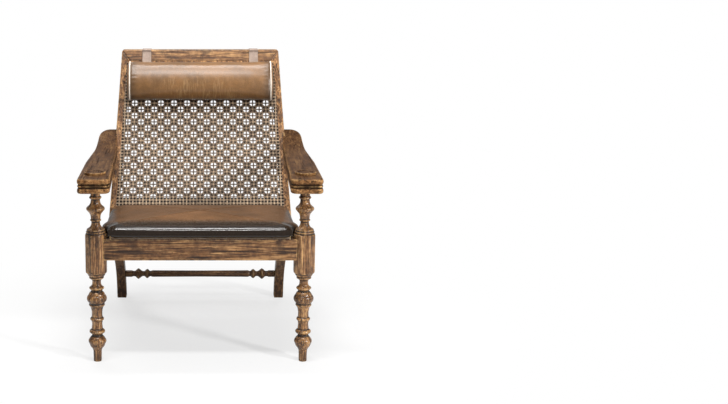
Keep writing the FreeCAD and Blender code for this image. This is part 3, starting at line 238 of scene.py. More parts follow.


# Texture scales are per metre. paintedTopShade darkens upward faces and lowShade the feet, both painted shade; age
# darkens all of it.
def woodFinish(name, grain, seed, specular=0.32, lowShade=0, spread=0.12, paintedTopShade=0, polish=0, age=0, wearAndHighlightShare=0.65):
    look = woodLook
    material, wire, place = newFinish(name)
    raised = wire.node("ShaderNodeSeparateXYZ", {}, {0: place}, 2).within(0.28, 0.40)
    place = wire.node("ShaderNodeMapping", {}, {"Vector": place, "Location": (seed, seed * 0.7, seed * 1.3)})

    def along(low, high):                        # low along the grain, high across it
        return place.stretched([low if axis == grain else high for axis in "xyz"])

    fine = along(16, 420).noise(1, 6, 0.70)
    bands = along(3.2, 42).noise(1, 5, 0.6, 0.9)
    streaks = along(7, 170).noise(1, 4, 0.62, 0.5)
    pores = along(30, 700).noise(1, 2, 0.5).within(0.56, 0.66)
    patches = place.noise(19, 7, 0.66)
    blotches = place.noise(58, 5, 0.62)
    tone = (bands * 0.26 + fine * 0.32 + streaks * 0.26 + blotches * 0.16).within(0.51 - spread, 0.51 + spread)
    stops = [(0.02, look["dark"]), (0.45, look["middle"]), (0.98, look["light"])]
    colour = wire.node("ShaderNodeValToRGB", {"stops": stops}, {0: tone})
    checks = along(6, 150).noise(1, 3, 0.6, 0.3).within(0.575, 0.63)
    colour = (checks * 0.8).tinted(colour, look["grimeAndShade"])
    colour = (pores * 0.55).tinted(colour, look["dark"])
    colour = (patches.within(0.52, 0.66) * 0.65).tinted(colour, look["dark"])
    specks = place.cells(85).within(0.13, 0.06) * place.noise(31, 2).within(0.48, 0.58)
    colour = (specks * 0.9).tinted(colour, look["grimeAndShade"])
    # Rubbed ridges are lighter: partly real wear, partly painted highlight.
    wearAndHighlight = wire.mask("edgeWear") * place.noise(80, 5, 0.6).within(0.42, 0.60)
    colour = (wearAndHighlight * wearAndHighlightShare).tinted(colour, look["wearAndHighlight"])
    # Hollows are darker: painted shade, with some grime.
    hollow = wire.mask("hollow") * (place.noise(45, 4).within(0.35, 0.6) * 0.25 + 0.75)
    colour = (hollow * 0.96).tinted(colour, look["grimeAndShade"])
    facing = wire.node("ShaderNodeNewGeometry", {}, {}, 1)
    upward = wire.node("ShaderNodeSeparateXYZ", {}, {0: facing}, 2).within(0.55, 0.9)
    # Painted shade: upward faces and the lower parts are darker; age darkens all of it evenly.
    colour = ((1 - raised) * lowShade + upward * paintedTopShade + age).tinted(colour, look["dark"])
    height = fine * 0.5 + streaks * 0.4 - pores * 0.6 - checks * 1.2 - specks * 1.8 + patches * 0.6
    rough = look["roughness"] - polish + fine * 0.16 - wearAndHighlight * 0.08 + hollow * 0.25 + checks * 0.2
    return shaderOf(
        material, height, 0.8, 0.6, Base_Color=colour, Roughness=rough, Specular_IOR_Level=specular,
        Coat_Weight=specular * 0.25, Coat_Roughness=0.2,
    )


woodAlongX = woodFinish("woodAlongX", "x", 0.3, age=0.2)
woodAlongY = woodFinish("woodAlongY", "y", 1.1)
woodAlongZ = woodFinish("woodAlongZ", "z", 2.7, 0.4, spread=0.12, polish=0.15, age=0.06, wearAndHighlightShare=0.4)
woodOfArms = woodFinish("woodOfArms", "y", 3.8, 0.09, spread=0.15, paintedTopShade=0.73)
# Posts and stretcher: painted shade towards the floor.
woodOfPosts = woodFinish("woodOfPosts", "z", 4.4, 0.3, 0.6)
woodOfStretcher = woodFinish("woodOfStretcher", "x", 5.2, 0.3, 0.65)


def leatherFinish(name, top, creasesAndShade, crack, rough, extra=None, coat=0.12, blur=0.13, specular=0.14):
    material, wire, place = newFinish(name)
    cloudy = place.noise(11, 6, 0.6)
    mottled = place.noise(85, 4, 0.65)
    colour = cloudy.within(0.3, 0.72).tinted([c * 0.74 for c in top], [c * 1.22 for c in top])
    colour = (mottled.within(0.45, 0.72) * 0.32).tinted(colour, [c * 1.7 for c in top])
    sway = place.noise(30, 3, output=1)
    warped = wire.node("ShaderNodeVectorMath", {"operation": "MULTIPLY_ADD"}, {0: sway, 1: (0.004,) * 3, 2: place})
    grain = warped.cells(520, "DISTANCE_TO_EDGE").within(0.0, 0.16)
    plates = warped.cells(150, "DISTANCE_TO_EDGE").within(0.0, 0.05)
    colour = ((1 - grain) * 0.28).tinted(colour, creasesAndShade)
    colour = ((1 - plates) * crack).tinted(colour, creasesAndShade)
    # The rim mask is painted shade: the seat's front and sides, the roll's ends and underside.
    rim = wire.mask("rim")
    colour = (rim * 0.97).tinted(colour, creasesAndShade)
    height = grain * 0.35 + plates * crack + mottled * 0.3
    roughness = rough + mottled * 0.16 - rim * 0.08 - grain * 0.05
    if extra:
        colour, height = extra(wire, place, colour, height)
    return shaderOf(
        material, height, 0.45, 0.5, Base_Color=colour, Roughness=roughness, Specular_IOR_Level=specular,
        Coat_Weight=(rim * 0.8 + coat).maths("MINIMUM", 1), Coat_Roughness=blur
    )


def seatSeams(wire, place, colour, height):
    seam = wire.mask("seam")
    # The back panels of the top are painted darker: painted shade.
    colour = (wire.mask("backPanels") * 0.28).tinted(colour, (0.06, 0.04, 0.028))
    return (seam.within(0.35, 1.0) * 0.75).tinted(colour, (0.03, 0.017, 0.01)), height - seam * 1.2


def rollCreases(wire, place, colour, height):
    low = wire.mask("crease")
    creases = place.stretched((95, 13, 13)).noise(1, 5, 0.65, 1.6).within(0.50, 0.64) * low
    colour = (creases * 0.3).tinted(colour, (0.42, 0.27, 0.12))
    return colour, height + creases * 1.1


seatLeather = leatherFinish(
    "seatLeather", (0.178, 0.088, 0.039), (0.010, 0.006, 0.0035), 0.10, 0.27, seatSeams,
    coat=0.08, blur=0.1, specular=0.07,
)
rollLeather = leatherFinish(
    "rollLeather", (0.195, 0.092, 0.028), (0.030, 0.018, 0.009), 0.12, 0.32, rollCreases,
    coat=1.0, blur=0.36,
)
# The piping is painted nearly white: a painted highlight at the roll's ends.
pipingHighlightLeather = leatherFinish("pipingHighlightLeather", (0.78, 0.70, 0.60), (0.20, 0.14, 0.09), 0.1, 0.35)
strapLeather = leatherFinish("strapLeather", (0.36, 0.275, 0.225), (0.13, 0.085, 0.06), 0.1, 0.5)


def caneFinish():
    material, wire, place = newFinish("caneReed")
    own = wire.node("ShaderNodeUVMap", {}, {})
    fibres = own.stretched((26, 3, 1)).noise(1, 4, 0.6)
    spots = place.noise(120, 5, 0.65)
    strand = wire.mask("strand")
    facing = wire.node("ShaderNodeNewGeometry", {}, {}, 1)
    # Faces turned to the back are lighter, most of all on the dark painted-shadow strands.
    rear = wire.node("ShaderNodeSeparateXYZ", {}, {0: facing}, 1).within(0.1, 0.5)
    tone = fibres * 0.35 + spots * 0.3 + strand * 0.35 + rear * 0.3 * (1 - strand)
    stops = [
        (0.08, (0.008, 0.005, 0.003)), (0.34, (0.066, 0.043, 0.028)), (0.50, (0.150, 0.104, 0.070)),
        (0.66, (0.49, 0.355, 0.23)),
    ]
    colour = wire.node("ShaderNodeValToRGB", {"stops": stops}, {0: tone})
    knots = own.stretched((1, 9, 1)).cells(1).within(0.09, 0.03)
    colour = (knots * 0.6).tinted(colour, (0.09, 0.05, 0.025))
    return shaderOf(
        material, fibres * 0.7 + spots * 0.3 - knots, 0.2, 0.4, Base_Color=colour, Roughness=0.42 + spots * 0.2,
        Specular_IOR_Level=0.18
    )


def brassFinish():
    material, wire, place = newFinish("agedBrass")
    tarnish = place.noise(420, 5, 0.6)
    colour = tarnish.within(0.4, 0.65).tinted((0.62, 0.44, 0.19), (0.22, 0.14, 0.07))
    return shaderOf(material, tarnish, 0.1, 0.3, Base_Color=colour, Metallic=0.95, Roughness=0.22 + tarnish * 0.3)


def steelFinish():
    material, wire, place = newFinish("blackedSteel")
    scale = place.noise(500, 4, 0.6)
    colour = scale.within(0.4, 0.7).tinted((0.24, 0.235, 0.23), (0.10, 0.07, 0.05))
    return shaderOf(material, scale, 0.08, 0.3, Base_Color=colour, Metallic=0.9, Roughness=0.3 + scale * 0.25)


def boardFinish():
    material, wire, place = newFinish("plyBoard")
    veneer = place.stretched((6, 260, 6)).noise(1, 5, 0.6)
    sockets = {"Vector": place, "Scale": 130, "Distortion": 0.6}
    layers = wire.node("ShaderNodeTexWave", {"bands_direction": "Z"}, sockets)
    colour = veneer.within(0.3, 0.7).tinted((0.44, 0.31, 0.19), (0.62, 0.47, 0.31))
    colour = (layers * 0.3).tinted(colour, (0.30, 0.19, 0.11))
    return shaderOf(material, veneer, 0.2, 0.3, Base_Color=colour, Roughness=0.62 + veneer * 0.15)


def liningFinish():
    material, wire, place = newFinish("blackLining")
    warp = wire.node("ShaderNodeTexWave", {"bands_direction": "X"}, {"Vector": place, "Scale": 320})
    weft = wire.node("ShaderNodeTexWave", {"bands_direction": "Y"}, {"Vector": place, "Scale": 320})
    weave = warp * weft
    lint = place.noise(90, 5, 0.65)
    colour = (weave * 0.6 + lint * 0.4).within(0.2, 0.8).tinted((0.009, 0.009, 0.010), (0.038, 0.037, 0.036))
    return shaderOf(material, weave, 0.3, 0.6, Base_Color=colour, Roughness=0.78 + lint * 0.15)


caneReed, agedBrass, blackedSteel = caneFinish(), brassFinish(), steelFinish()
plyBoard, blackLining = boardFinish(), liningFinish()
print("stage: finishes made")

# CAD node: name, voxel size, smoothing rounds, finish
frameParts = {
    "front_leg_left": ("legLeft", 1.3, 3, woodAlongZ), "front_leg_right": ("legRight", 1.3, 3, woodAlongZ),
    "rear_post_left": ("rearPostLeft", 1.9, 3, woodOfPosts), "rear_post_right": ("rearPostRight", 1.9, 3, woodOfPosts),
    "front_rail": ("frontRail", 1.6, 4, woodAlongX), "top_rail": ("topRail", 1.6, 4, woodAlongX),
    "side_rail_left": ("sideRailLeft", 2.3, 2, woodAlongY), "side_rail_right": ("sideRailRight", 2.3, 2, woodAlongY),
    "rear_seat_rail": ("rearSeatRail", 2.3, 2, woodAlongX), "lower_back_rail": ("lowerBackRail", 2.3, 2, woodAlongX),
    "rear_stretcher": ("rearStretcher", 1.4, 2, woodOfStretcher), "corner_blocks": ("cornerBlocks", 2.2, 3, woodAlongX),
    "arm_roundel_left": ("roundelLeft", 0.8, 2, woodOfArms), "arm_roundel_right": ("roundelRight", 0.8, 2, woodOfArms),
}
mitre = {"outer": (273, 904), "inner": (245.2, 867), "reach": 7, "below": 2}


# No edge wear or painted highlight along the glued mitres of the back frame.
def calmMitre(piece):
    x, _, z = spotsOf(piece).T * 1000
    (outX, outZ), (inX, inZ) = mitre["outer"], mitre["inner"]
    gap = np.abs((np.abs(x) - inX) * (outZ - inZ) - (z - inZ) * (outX - inX)) / math.hypot(outX - inX, outZ - inZ)
    layer = piece.data.attributes["edgeWear"].data
    values = np.empty(len(layer))
    layer.foreach_get("value", values)
    values[(gap < mitre["reach"]) & (z > inZ - mitre["below"])] = 0
    layer.foreach_set("value", values.astype(np.float32))


for node, (name, voxel, rounds, finish) in frameParts.items():
    piece = wornCopy(node, name, voxel, rounds)
    if finish is woodOfPosts or node == "top_rail":
        calmMitre(piece)
    dress(piece, finish)
print("stage: wooden frame softened")

arm = {
    "front": -403.7, "inner": 265, "outer": 361, "innerRear": 279, "taperFrom": -118.7, "taper": 0.04,
    "top": 582, "slope": 1.0, "sweepFrom": 81.3, "sweepRadius": 345, "sweepEnd": 31,
    "innerCorner": 22, "outerCorner": 14, "rearCorner": 38, "originY": -318.7, "capRings": 7,
    "rearTrim": 9, "plainShare": 0.35, "plainFrom": (330, 381), "spineX": 311, "spineDrift": 0.004,
    "wearSpread": 2, "grimeAndShade": 0.95,
    # depth below the top, and set-back of the edge
    "moulding": [
        (0, 6.6), (0.5, 4.4), (1.5, 2.5), (3.2, 1.1), (5.6, 0.3), (9, 0), (12.4, 0.3), (14.8, 1.1),
        (16.5, 2.5), (17.5, 4.0), (18.0, 4.6), (19.3, 4.6), (19.7, 3.2), (20.8, 1.6), (22.9, 1.0), (25.0, 1.6),
        (26.1, 3.2), (26.5, 4.6), (27.8, 4.6), (28.3, 4.0), (29.3, 2.5), (31.0, 1.1), (33.4, 0.3), (36.4, 0),
        (39.6, 0.3), (41.8, 1.1), (43.5, 2.5), (44.5, 4.4), (45, 6.6),
    ],
}


def cornerTurn(centre, radius, start, end, steps):
    angles = np.radians(np.linspace(start, end, steps))
    return [(centre[0] + radius * math.cos(t), centre[1] + radius * math.sin(t)) for t in angles]


# The arm's plan outline at one height of the moulding.
def armRing(setBack):
    front, inner, outer = arm["front"], arm["inner"], arm["outer"]
    turnIn, turnOut, rear = arm["innerCorner"], arm["outerCorner"], arm["rearCorner"]
    end = arm["sweepFrom"] + arm["sweepRadius"] * math.radians(arm["sweepEnd"] - arm["slope"])
    endOuter = outer - arm["taper"] * (end - arm["rearTrim"] - arm["taperFrom"])
    slant = (arm["innerRear"] - inner) / (arm["sweepFrom"] - front)
    plain = setBack * arm["plainShare"]          # the inner side is nearly square
    ring = cornerTurn((inner + turnIn, front + turnIn), turnIn - setBack, 180, 270, 22)
    ring += [(x, front + setBack) for x in np.linspace(inner + turnIn, outer - turnOut, 18)[1:-1]]
    ring += cornerTurn((outer - turnOut, front + turnOut), turnOut - setBack, 270, 360, 16)
    ring += [(outer - setBack, y) for y in np.linspace(front + turnOut, arm["taperFrom"], 90)[1:]]
    for y in np.linspace(arm["taperFrom"], end - rear, 110)[1:-1]:
        ring.append((outer - arm["taper"] * (y - arm["taperFrom"]) - setBack, y))
    ring += cornerTurn((endOuter - rear, end - rear), rear - setBack, 0, 90, 24)
    endInner = inner + slant * (end - front)
    ring += [(x, end - setBack) for x in np.linspace(endOuter - rear, endInner + plain, 16)[1:]]
    for y in np.linspace(end - setBack, front + turnIn, 200)[1:-1]:
        eased = (setBack - plain) * ramped(-y, *arm["plainFrom"])
        ring.append((inner + slant * (y - front) + plain + eased, y))
    return np.array(ring)


# Lays a flat outline on the arm's slope and rear sweep, at a depth below the top.
def armSpots(plan, depth):
    x, y = plan.T
    slope = math.radians(arm["slope"])
    turnY, radius = arm["sweepFrom"], arm["sweepRadius"]
    turnZ = arm["top"] + (turnY - arm["originY"]) * math.tan(slope)
    centre = (turnY - math.sin(slope) * radius, turnZ + math.cos(slope) * radius)
    angle = slope + np.maximum(y - turnY, 0) / radius
    before = np.minimum(y - turnY, 0)
    outY = centre[0] + np.sin(angle) * (radius + depth) + before * math.cos(slope)
    outZ = centre[1] - np.cos(angle) * (radius + depth) + before * math.sin(slope)
    return np.column_stack([x, outY, outZ]) / 1000


def makeArm(name, side):
    rings = [(armRing(back), depth) for depth, back in arm["moulding"]]
    caps = []
    for plan, depth in (rings[0], rings[-1]):
        half = (plan[:, 0].max() - plan[:, 0].min()) / 2
        spine = plan.copy()
        spine[:, 1] = np.clip(plan[:, 1], plan[:, 1].min() + half, plan[:, 1].max() - half)
        spine[:, 0] = arm["spineX"] + (spine[:, 1] - arm["front"]) * arm["spineDrift"]
        shares = np.linspace(0, 1, arm["capRings"] + 1)[1:]
        caps.append([(plan + (spine - plan) * share, depth) for share in shares])
    rings = caps[0][::-1] + rings + caps[1]
    bpy.ops.object.select_all(action="DESELECT")
    bpy.ops.mesh.primitive_circle_add(vertices=len(rings[0][0]), radius=0.1)
    piece = bpy.context.object
    piece.name = name
    bpy.ops.object.mode_set(mode="EDIT")
    for _ in rings[1:]:
        bpy.ops.mesh.extrude_region_move(TRANSFORM_OT_translate={"value": (0, 0, -0.001)})
    bpy.ops.object.mode_set(mode="OBJECT")
    spots = np.concatenate([armSpots(plan, depth) for plan, depth in rings])
    spots[:, 0] *= side
    placeSpots(piece, spots)
    bpy.ops.object.mode_set(mode="EDIT")
    bpy.ops.mesh.select_all(action="SELECT")
    bpy.ops.mesh.remove_doubles(threshold=2e-5)
    bpy.ops.mesh.normals_make_consistent(inside=False)
    bpy.ops.object.mode_set(mode="OBJECT")
    bpy.ops.object.shade_smooth()
    markWearAndShading(piece, arm["wearSpread"], arm["grimeAndShade"])
    return piece


for side, word in ((-1, "left"), (1, "right")):
    armPiece = makeArm("arm" + word.title(), side)
    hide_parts("arm_" + word)
    dress(armPiece, woodOfArms)
print("stage: arms moulded")

# The weave is laid flat, u across and v up from the lower rail, and then rolled onto the back's arc.
cane = {
    "radius": 2330, "centreY": -1853.0, "centreZ": 1694.8, "low": 394, "high": 867,
    "pitch": 45.25 / 4, "firstRow": 63.5, "width": 3.2, "edgeWidth": 3.5, "slantWidth": 2.6, "thick": 0.5,
    "wave": 0.45, "depth": 1.9, "step": 45.25 / 16, "denseBelow": 41, "outerLow": 285.3, "outerHigh": 257.7,
    "seed": 11, "shadowWidth": 9.5, "shadowAt": -1.3, "shadowStep": 0.3, "shadowBandWide": 13.5, "shadowBandHigh": 36,
    "denseEdge": (-13.5, -10.5), "denseRise": (-5, 1), "denseLight": 0.74, "slantThin": 0.6,
    "slantLifts": ((1, 0.75), (-1, 1.15)), "trim": 2.5, "spare": 6, "uprights": 25, "slants": 14,
}
caneLow = math.asin((cane["low"] - cane["centreZ"]) / cane["radius"])
caneHigh = math.asin((cane["high"] - cane["centreZ"]) / cane["radius"])
caneLength = cane["radius"] * (caneHigh - caneLow)
shades = np.random.RandomState(cane["seed"])


def caneEdge(v):
    return cane["outerLow"] + (cane["outerHigh"] - cane["outerLow"]) * v / caneLength


def strandStart(length):
    cuts = int(length / cane["step"])
    bpy.ops.object.select_all(action="DESELECT")
    bpy.ops.mesh.primitive_grid_add(x_subdivisions=2, y_subdivisions=cuts, size=1)
    strip = bpy.context.object
    strip.scale = (1, length, 1)
    bpy.ops.object.transform_apply(location=False, rotation=False, scale=True)
    return strip


# 1 at the middle of a star, 0 at the middle of an open group.
def starShare(u, v):
    sideways = np.cos(math.pi / 2 * u / cane["pitch"])
    upwards = np.cos(math.pi / 2 * (v - cane["firstRow"]) / cane["pitch"])
    return 0.5 - 0.5 * sideways * upwards


def levelAt(height):
    return lambda u, v: height + 0 * u


# A strand with a width is a diagonal one, or a dark painted-shadow strand under the weave.
def laidStrand(strip, place, heading, lift, width=None):
    piece = strip.copy()
    piece.data = strip.data.copy()
    scene.collection.objects.link(piece)
    flat = spotsOf(piece)
    across, run = flat[:, 0], flat[:, 1]
    along = np.array(heading) / np.hypot(*heading)
    u = place[0] + along[0] * run
    v = place[1] + along[1] * run
    low, high = [cane["denseBelow"] + rise for rise in cane["denseRise"]]
    dense = np.maximum(1 - ramped(v, low, high), ramped(np.abs(u) - caneEdge(v), *cane["denseEdge"]))
    star = starShare(u, v)
    plain = cane["width"] * (1.22 - 0.27 * star)
    isShadowStrand = lift(0.0, 0.0) < cane["shadowAt"] / 2
    wide = plain + (cane["edgeWidth"] - plain) * dense
    if width:
        wide = width * (1 if isShadowStrand else 1 - cane["slantThin"] * dense)
    u = u + along[1] * across * wide
    v = v - along[0] * across * wide
    height = lift(u, v) - np.abs(across) * 0.5
    placeSpots(piece, np.column_stack([u, v, height]))
    # Random tone per strand, plus painted light: lighter towards the star middles and in the dense border. The dark
    # painted-shadow strands get -0.9.
    shade = shades.uniform(-0.05, 0.20) + np.maximum(star, dense * cane["denseLight"])
    if width:
        shade = np.full(len(flat), -0.9 if isShadowStrand else shades.uniform(0.35, 0.65))
    storeMask(piece, "strand", shade)
    return piece


def wovenPiece(name, strands):
    pickOnly(strands[0])
    for strand in strands:
        strand.select_set(True)
    bpy.ops.object.join()
    piece = bpy.context.object
    piece.name = name
    tilt = (cane["outerLow"] - cane["outerHigh"]) / caneLength
    bpy.ops.object.mode_set(mode="EDIT")
    for spot, normal in (
        ((cane["outerLow"], 0, 0), (1, tilt, 0)), ((-cane["outerLow"], 0, 0), (-1, tilt, 0)),
        ((0, cane["trim"], 0), (0, -1, 0)), ((0, caneLength - cane["trim"], 0), (0, 1, 0)),
    ):
        bpy.ops.mesh.select_all(action="SELECT")
        bpy.ops.mesh.bisect(plane_co=spot, plane_no=normal, clear_outer=True)
    bpy.ops.object.mode_set(mode="OBJECT")
    u, v, height = spotsOf(piece).T
    angle = caneLow + v / cane["radius"]
    reach = cane["radius"] + cane["depth"] - height
    y, z = cane["centreY"] + reach * np.cos(angle), cane["centreZ"] + reach * np.sin(angle)
    placeSpots(piece, np.column_stack([u, y, z]) / 1000)
    bpy.ops.object.mode_set(mode="EDIT")
    bpy.ops.mesh.select_all(action="SELECT")
    bpy.ops.mesh.flip_normals()
    bpy.ops.object.mode_set(mode="OBJECT")
    withModifier(piece, "SOLIDIFY", thickness=cane["thick"] / 1000, offset=-1)
    pickOnly(piece)
    bpy.ops.object.shade_smooth_by_angle(angle=math.radians(50))
    return dress(piece, caneReed)


pitch, wave, firstRow, middle = cane["pitch"], cane["wave"], cane["firstRow"], caneLength / 2
upright = strandStart(caneLength + cane["spare"])
crosswise = strandStart(2 * cane["outerLow"] + cane["spare"])
slanting = strandStart(math.hypot(caneLength, caneLength) + 20)
across = [
    laidStrand(upright, (i * pitch, middle), (0, 1),
               lambda u, v, i=i: wave * np.cos(math.pi * ((v - firstRow) / pitch + i)))
    for i in range(-cane["uprights"], cane["uprights"] + 1)
]
rows = range(-5, int((caneLength - firstRow) / pitch) + 1)
level = [
    laidStrand(crosswise, (0, firstRow + j * pitch), (1, 0),
               lambda u, v, j=j: -wave * np.cos(math.pi * (u / pitch + j)))
    for j in rows
]
slants, shadowStrands = [], []
for lean, lift in cane["slantLifts"]:
    for k in range(-cane["slants"], cane["slants"] + 1):
        start = (k * 4 + 2) * pitch + lean * (middle - firstRow)
        for shift in (-pitch / 2, pitch / 2):
            slants.append(laidStrand(slanting, (start + shift, middle), (lean, 1), levelAt(lift), cane["slantWidth"]))
        # A dark painted-shadow strand lies behind each pair of diagonals.
        deep = cane["shadowAt"] - cane["shadowStep"] * (lean + 1)
        shadowStrands.append(laidStrand(slanting, (start, middle), (lean, 1), levelAt(deep), cane["shadowWidth"]))
# Dark painted-shadow bands lie behind the dense side columns and the bottom rows.
edgeRun = (cane["outerHigh"] - cane["outerLow"]) / caneLength
for sign in (-1, 1):
    beside = sign * (caneEdge(middle) - cane["shadowBandWide"] / 2)
    heading = (sign * edgeRun, 1)
    shadowStrands.append(laidStrand(upright, (beside, middle), heading, levelAt(cane["shadowAt"]), cane["shadowBandWide"]))
below = cane["shadowBandHigh"] / 2 + 2
shadowStrands.append(laidStrand(crosswise, (0, below), (1, 0), levelAt(cane["shadowAt"]), cane["shadowBandHigh"]))
for start in (upright, crosswise, slanting):
    bpy.data.objects.remove(start)
strands = {"caneUprights": across, "caneCrossing": level, "caneSlants": slants, "caneShadowStrands": shadowStrands}
wovenPieces = [wovenPiece(name, parts) for name, parts in strands.items()]
for woven in wovenPieces:
    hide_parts("cane_panel")
print("stage: cane woven", [len(p.data.polygons) for p in wovenPieces])

seatPad = {
    "voxel": 5.0, "pressure": 4.0, "cap": 5.0, "shrink": 0.994, "centreY": -126.9, "halfX": 298, "halfY": 220,
    "groove": 1.7, "grooveWidth": 2.2, "lip": 0.5, "fall": 0.04, "frontTop": 386, "frontY": -341.2,
    "ear": 11, "earAt": -262, "heldBelow": 386,
}
headRoll = {
    "voxel": 4.5, "pressure": 3.0, "cap": 4.0, "shrink": 1.004, "centre": (0, 256.8, 805.7), "tilt": 22.85,
    "pipeAt": 241, "heldBelow": 600, "drop": 5, "half": 66,
}


stuffing = {"frames": 20, "holdRise": 22, "before": 5, "after": 2}


# Blows the pad up a little as cloth. Below heldBelow it stays where the frame carries it.
def stuffed(node, name, look):
    piece = copyOf(node, name)
    withModifier(piece, "REMESH", mode="VOXEL", voxel_size=look["voxel"] / 1000, use_smooth_shade=True)
    withModifier(piece, "SMOOTH", factor=0.5, iterations=stuffing["before"])
    spots = spotsOf(piece)
    middle = (spots.max(axis=0) + spots.min(axis=0)) / 2
    rest = middle + (spots - middle) * look["shrink"]
    placeSpots(piece, rest)
    pickOnly(piece)
    cloth = piece.modifiers.new("cloth", "CLOTH")
    cloth.settings.use_pressure = True
    cloth.settings.uniform_pressure_force = look["pressure"]
    cloth.settings.effector_weights.gravity = 0
    cloth.point_cache.frame_end = stuffing["frames"]
    for count in range(1, stuffing["frames"] + 1):
        scene.frame_set(count)
    bpy.ops.object.modifier_apply(modifier=cloth.name)
    moved = spotsOf(piece) - rest
    far = np.maximum(np.linalg.norm(moved, axis=1), 1e-9)
    keep = np.minimum(1, look["cap"] / 1000 / far)
    hold = ramped(rest[:, 2] * 1000, look["heldBelow"], look["heldBelow"] + stuffing["holdRise"])
    placeSpots(piece, rest + moved * (keep * hold)[:, None])
    scene.frame_set(1)
    withModifier(piece, "SMOOTH", factor=0.5, iterations=stuffing["after"])
    withModifier(piece, "SUBSURF", levels=1, render_levels=1)
    return piece


def pushed(piece, amount):
    placeSpots(piece, spotsOf(piece) + normalsOf(piece) * (amount / 1000)[:, None])


rollTilt = math.radians(headRoll["tilt"])


# Heights along the back and distances out from it, from the middle of the head roll.
def rollAxes(spots):
    _, out, up = (spots * 1000 - headRoll["centre"]).T
    return (up * math.cos(rollTilt) + out * math.sin(rollTilt),
            out * math.cos(rollTilt) - up * math.sin(rollTilt))


# The lower half of the roll hangs down a little.
def sagged(piece):
    spots = spotsOf(piece)
    fall = ramped(-rollAxes(spots)[0], 0, headRoll["half"]) * headRoll["drop"] / 1000
    spots[:, 1] -= fall * math.sin(rollTilt)
    spots[:, 2] -= fall * math.cos(rollTilt)
    placeSpots(piece, spots)


cushion = stuffed("seat_pad", "seatCushion", seatPad)
x, y, z = spotsOf(cushion).T * 1000              # the seams run corner to corner
normals = normalsOf(cushion)
topSide = ramped(normals[:, 2], 0.1, 0.6)
slantX, slantY = x / seatPad["halfX"], (y - seatPad["centreY"]) / seatPad["halfY"]
sideways = seatPad["halfX"] * seatPad["halfY"] / math.hypot(seatPad["halfX"], seatPad["halfY"])
seamGap = np.minimum(np.abs(slantX - slantY), np.abs(slantX + slantY)) * sideways
groove = np.exp(-(seamGap / seatPad["grooveWidth"]) ** 2)
lips = np.exp(-((seamGap - 5.5) / 3.0) ** 2)
folds = np.sin(x / 23 + np.sin(y / 41) * 2.2) * np.sin(y / 37 + np.sin(x / 53) * 1.7) * 0.5
folds += np.sin((x + y * 0.6) / 9.5 + np.sin(y / 17) * 1.5) * 0.12
folds *= ramped(y - seatPad["frontY"], 15, 90)
pushed(cushion, topSide * (seatPad["lip"] * lips - seatPad["groove"] * groove + folds))
ear = seatPad["ear"] * np.exp(-((y - seatPad["earAt"]) / 42) ** 2)        # the sides reach to the legs
ear = ear * ramped(np.abs(x), 225, 285) * ramped(z, 392, 414)
spots = spotsOf(cushion)
spots[:, 0] += np.sign(x) * ear / 1000
placeSpots(cushion, spots)
storeMask(cushion, "seam", topSide * np.exp(-(seamGap / 2.0) ** 2))
# The front and the lower sides are painted darker (rim): painted shade.
levelled = z - seatPad["frontTop"] + seatPad["fall"] * (y - seatPad["frontY"])
fromFront = y - seatPad["frontY"] + 5.5
frontShade = 1 - ramped(fromFront, 45, 108)
sideShade = 1 - ramped(levelled, 20, 44)
storeMask(cushion, "rim", np.maximum(frontShade, sideShade * 0.85))
# The top's back triangles, marked for painted shade.
storeMask(cushion, "backPanels", topSide * ramped(slantY + np.abs(slantX), -0.06, 0.06))
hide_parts("seat_pad")
dress(cushion, seatLeather)

roll = stuffed("head_roll", "headRollCushion", headRoll)
x = spotsOf(roll)[:, 0] * 1000
up, face = rollAxes(spotsOf(roll))
toPipe = np.abs(np.abs(x) - headRoll["pipeAt"])
tuck = np.exp(-(toPipe / 4.5) ** 2) * 1.6
ripples = np.sin(x / 6.1 + np.sin(up / 19) * 1.3) * np.exp(-((up + 22) / 24) ** 2) * 0.22
ripples += np.sin(np.arctan2(face, up) * 17 + np.sign(x)) * np.exp(-((toPipe - 14) / 12) ** 2) * 0.3
sag = np.sin(x / 61 + 0.6) * 0.7 * np.cos(up / 45)
pushed(roll, ripples + sag - tuck)
sagged(roll)
storeMask(roll, "crease", ramped(-up, -8, 22) * ramped(-np.abs(x), -190, -90))
# The roll's ends and underside are painted darker: painted shade.
endShade = ramped(np.abs(x), 205, 236) * (1 - ramped(np.abs(x), 240, 244))
storeMask(roll, "rim", endShade * 0.55 + ramped(-up, 44, headRoll["half"]) * 0.25)
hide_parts("head_roll")
dress(roll, rollLeather, "headrest")

welt = wornCopy("seat_welt", "seatWelt", 1.3, 3)
dress(welt, seatLeather)
# The welt is painted as dark as the seat's front: painted shade.
storeMask(welt, "rim", np.full(len(welt.data.vertices), 0.75))
piping = wornCopy("head_roll_piping", "rollPiping", 1.0, 2)
sagged(piping)
dress(piping, pipingHighlightLeather, "headrest")
print("stage: seat and head roll stuffed")

strap = {
    "width": 31, "offset": 186, "edge": 3.2, "pitch": 4.2, "length": 2.7, "thread": 0.42, "slant": 5,
    "depth": -3.5, "low": 806, "high": 897, "saddleDepth": 28.4, "saddleLow": 867, "saddleHigh": 900,
}


def stitchSeed():
    bpy.ops.object.select_all(action="DESELECT")
    bpy.ops.mesh.primitive_uv_sphere_add(segments=8, ring_count=6, radius=1)
    seed = bpy.context.object
    seed.scale = (strap["thread"], strap["thread"], strap["length"] / 2)
    bpy.ops.object.transform_apply(location=False, rotation=False, scale=True)
    bpy.ops.object.shade_smooth()
    return seed


# A spot at a height on the back's arc, and how far the back leans there.
def scoopSpot(x, z, depth):
    reach = cane["radius"] + depth
    angle = math.asin((z - cane["centreZ"]) / reach)
    return (x, cane["centreY"] + reach * math.cos(angle), z), angle


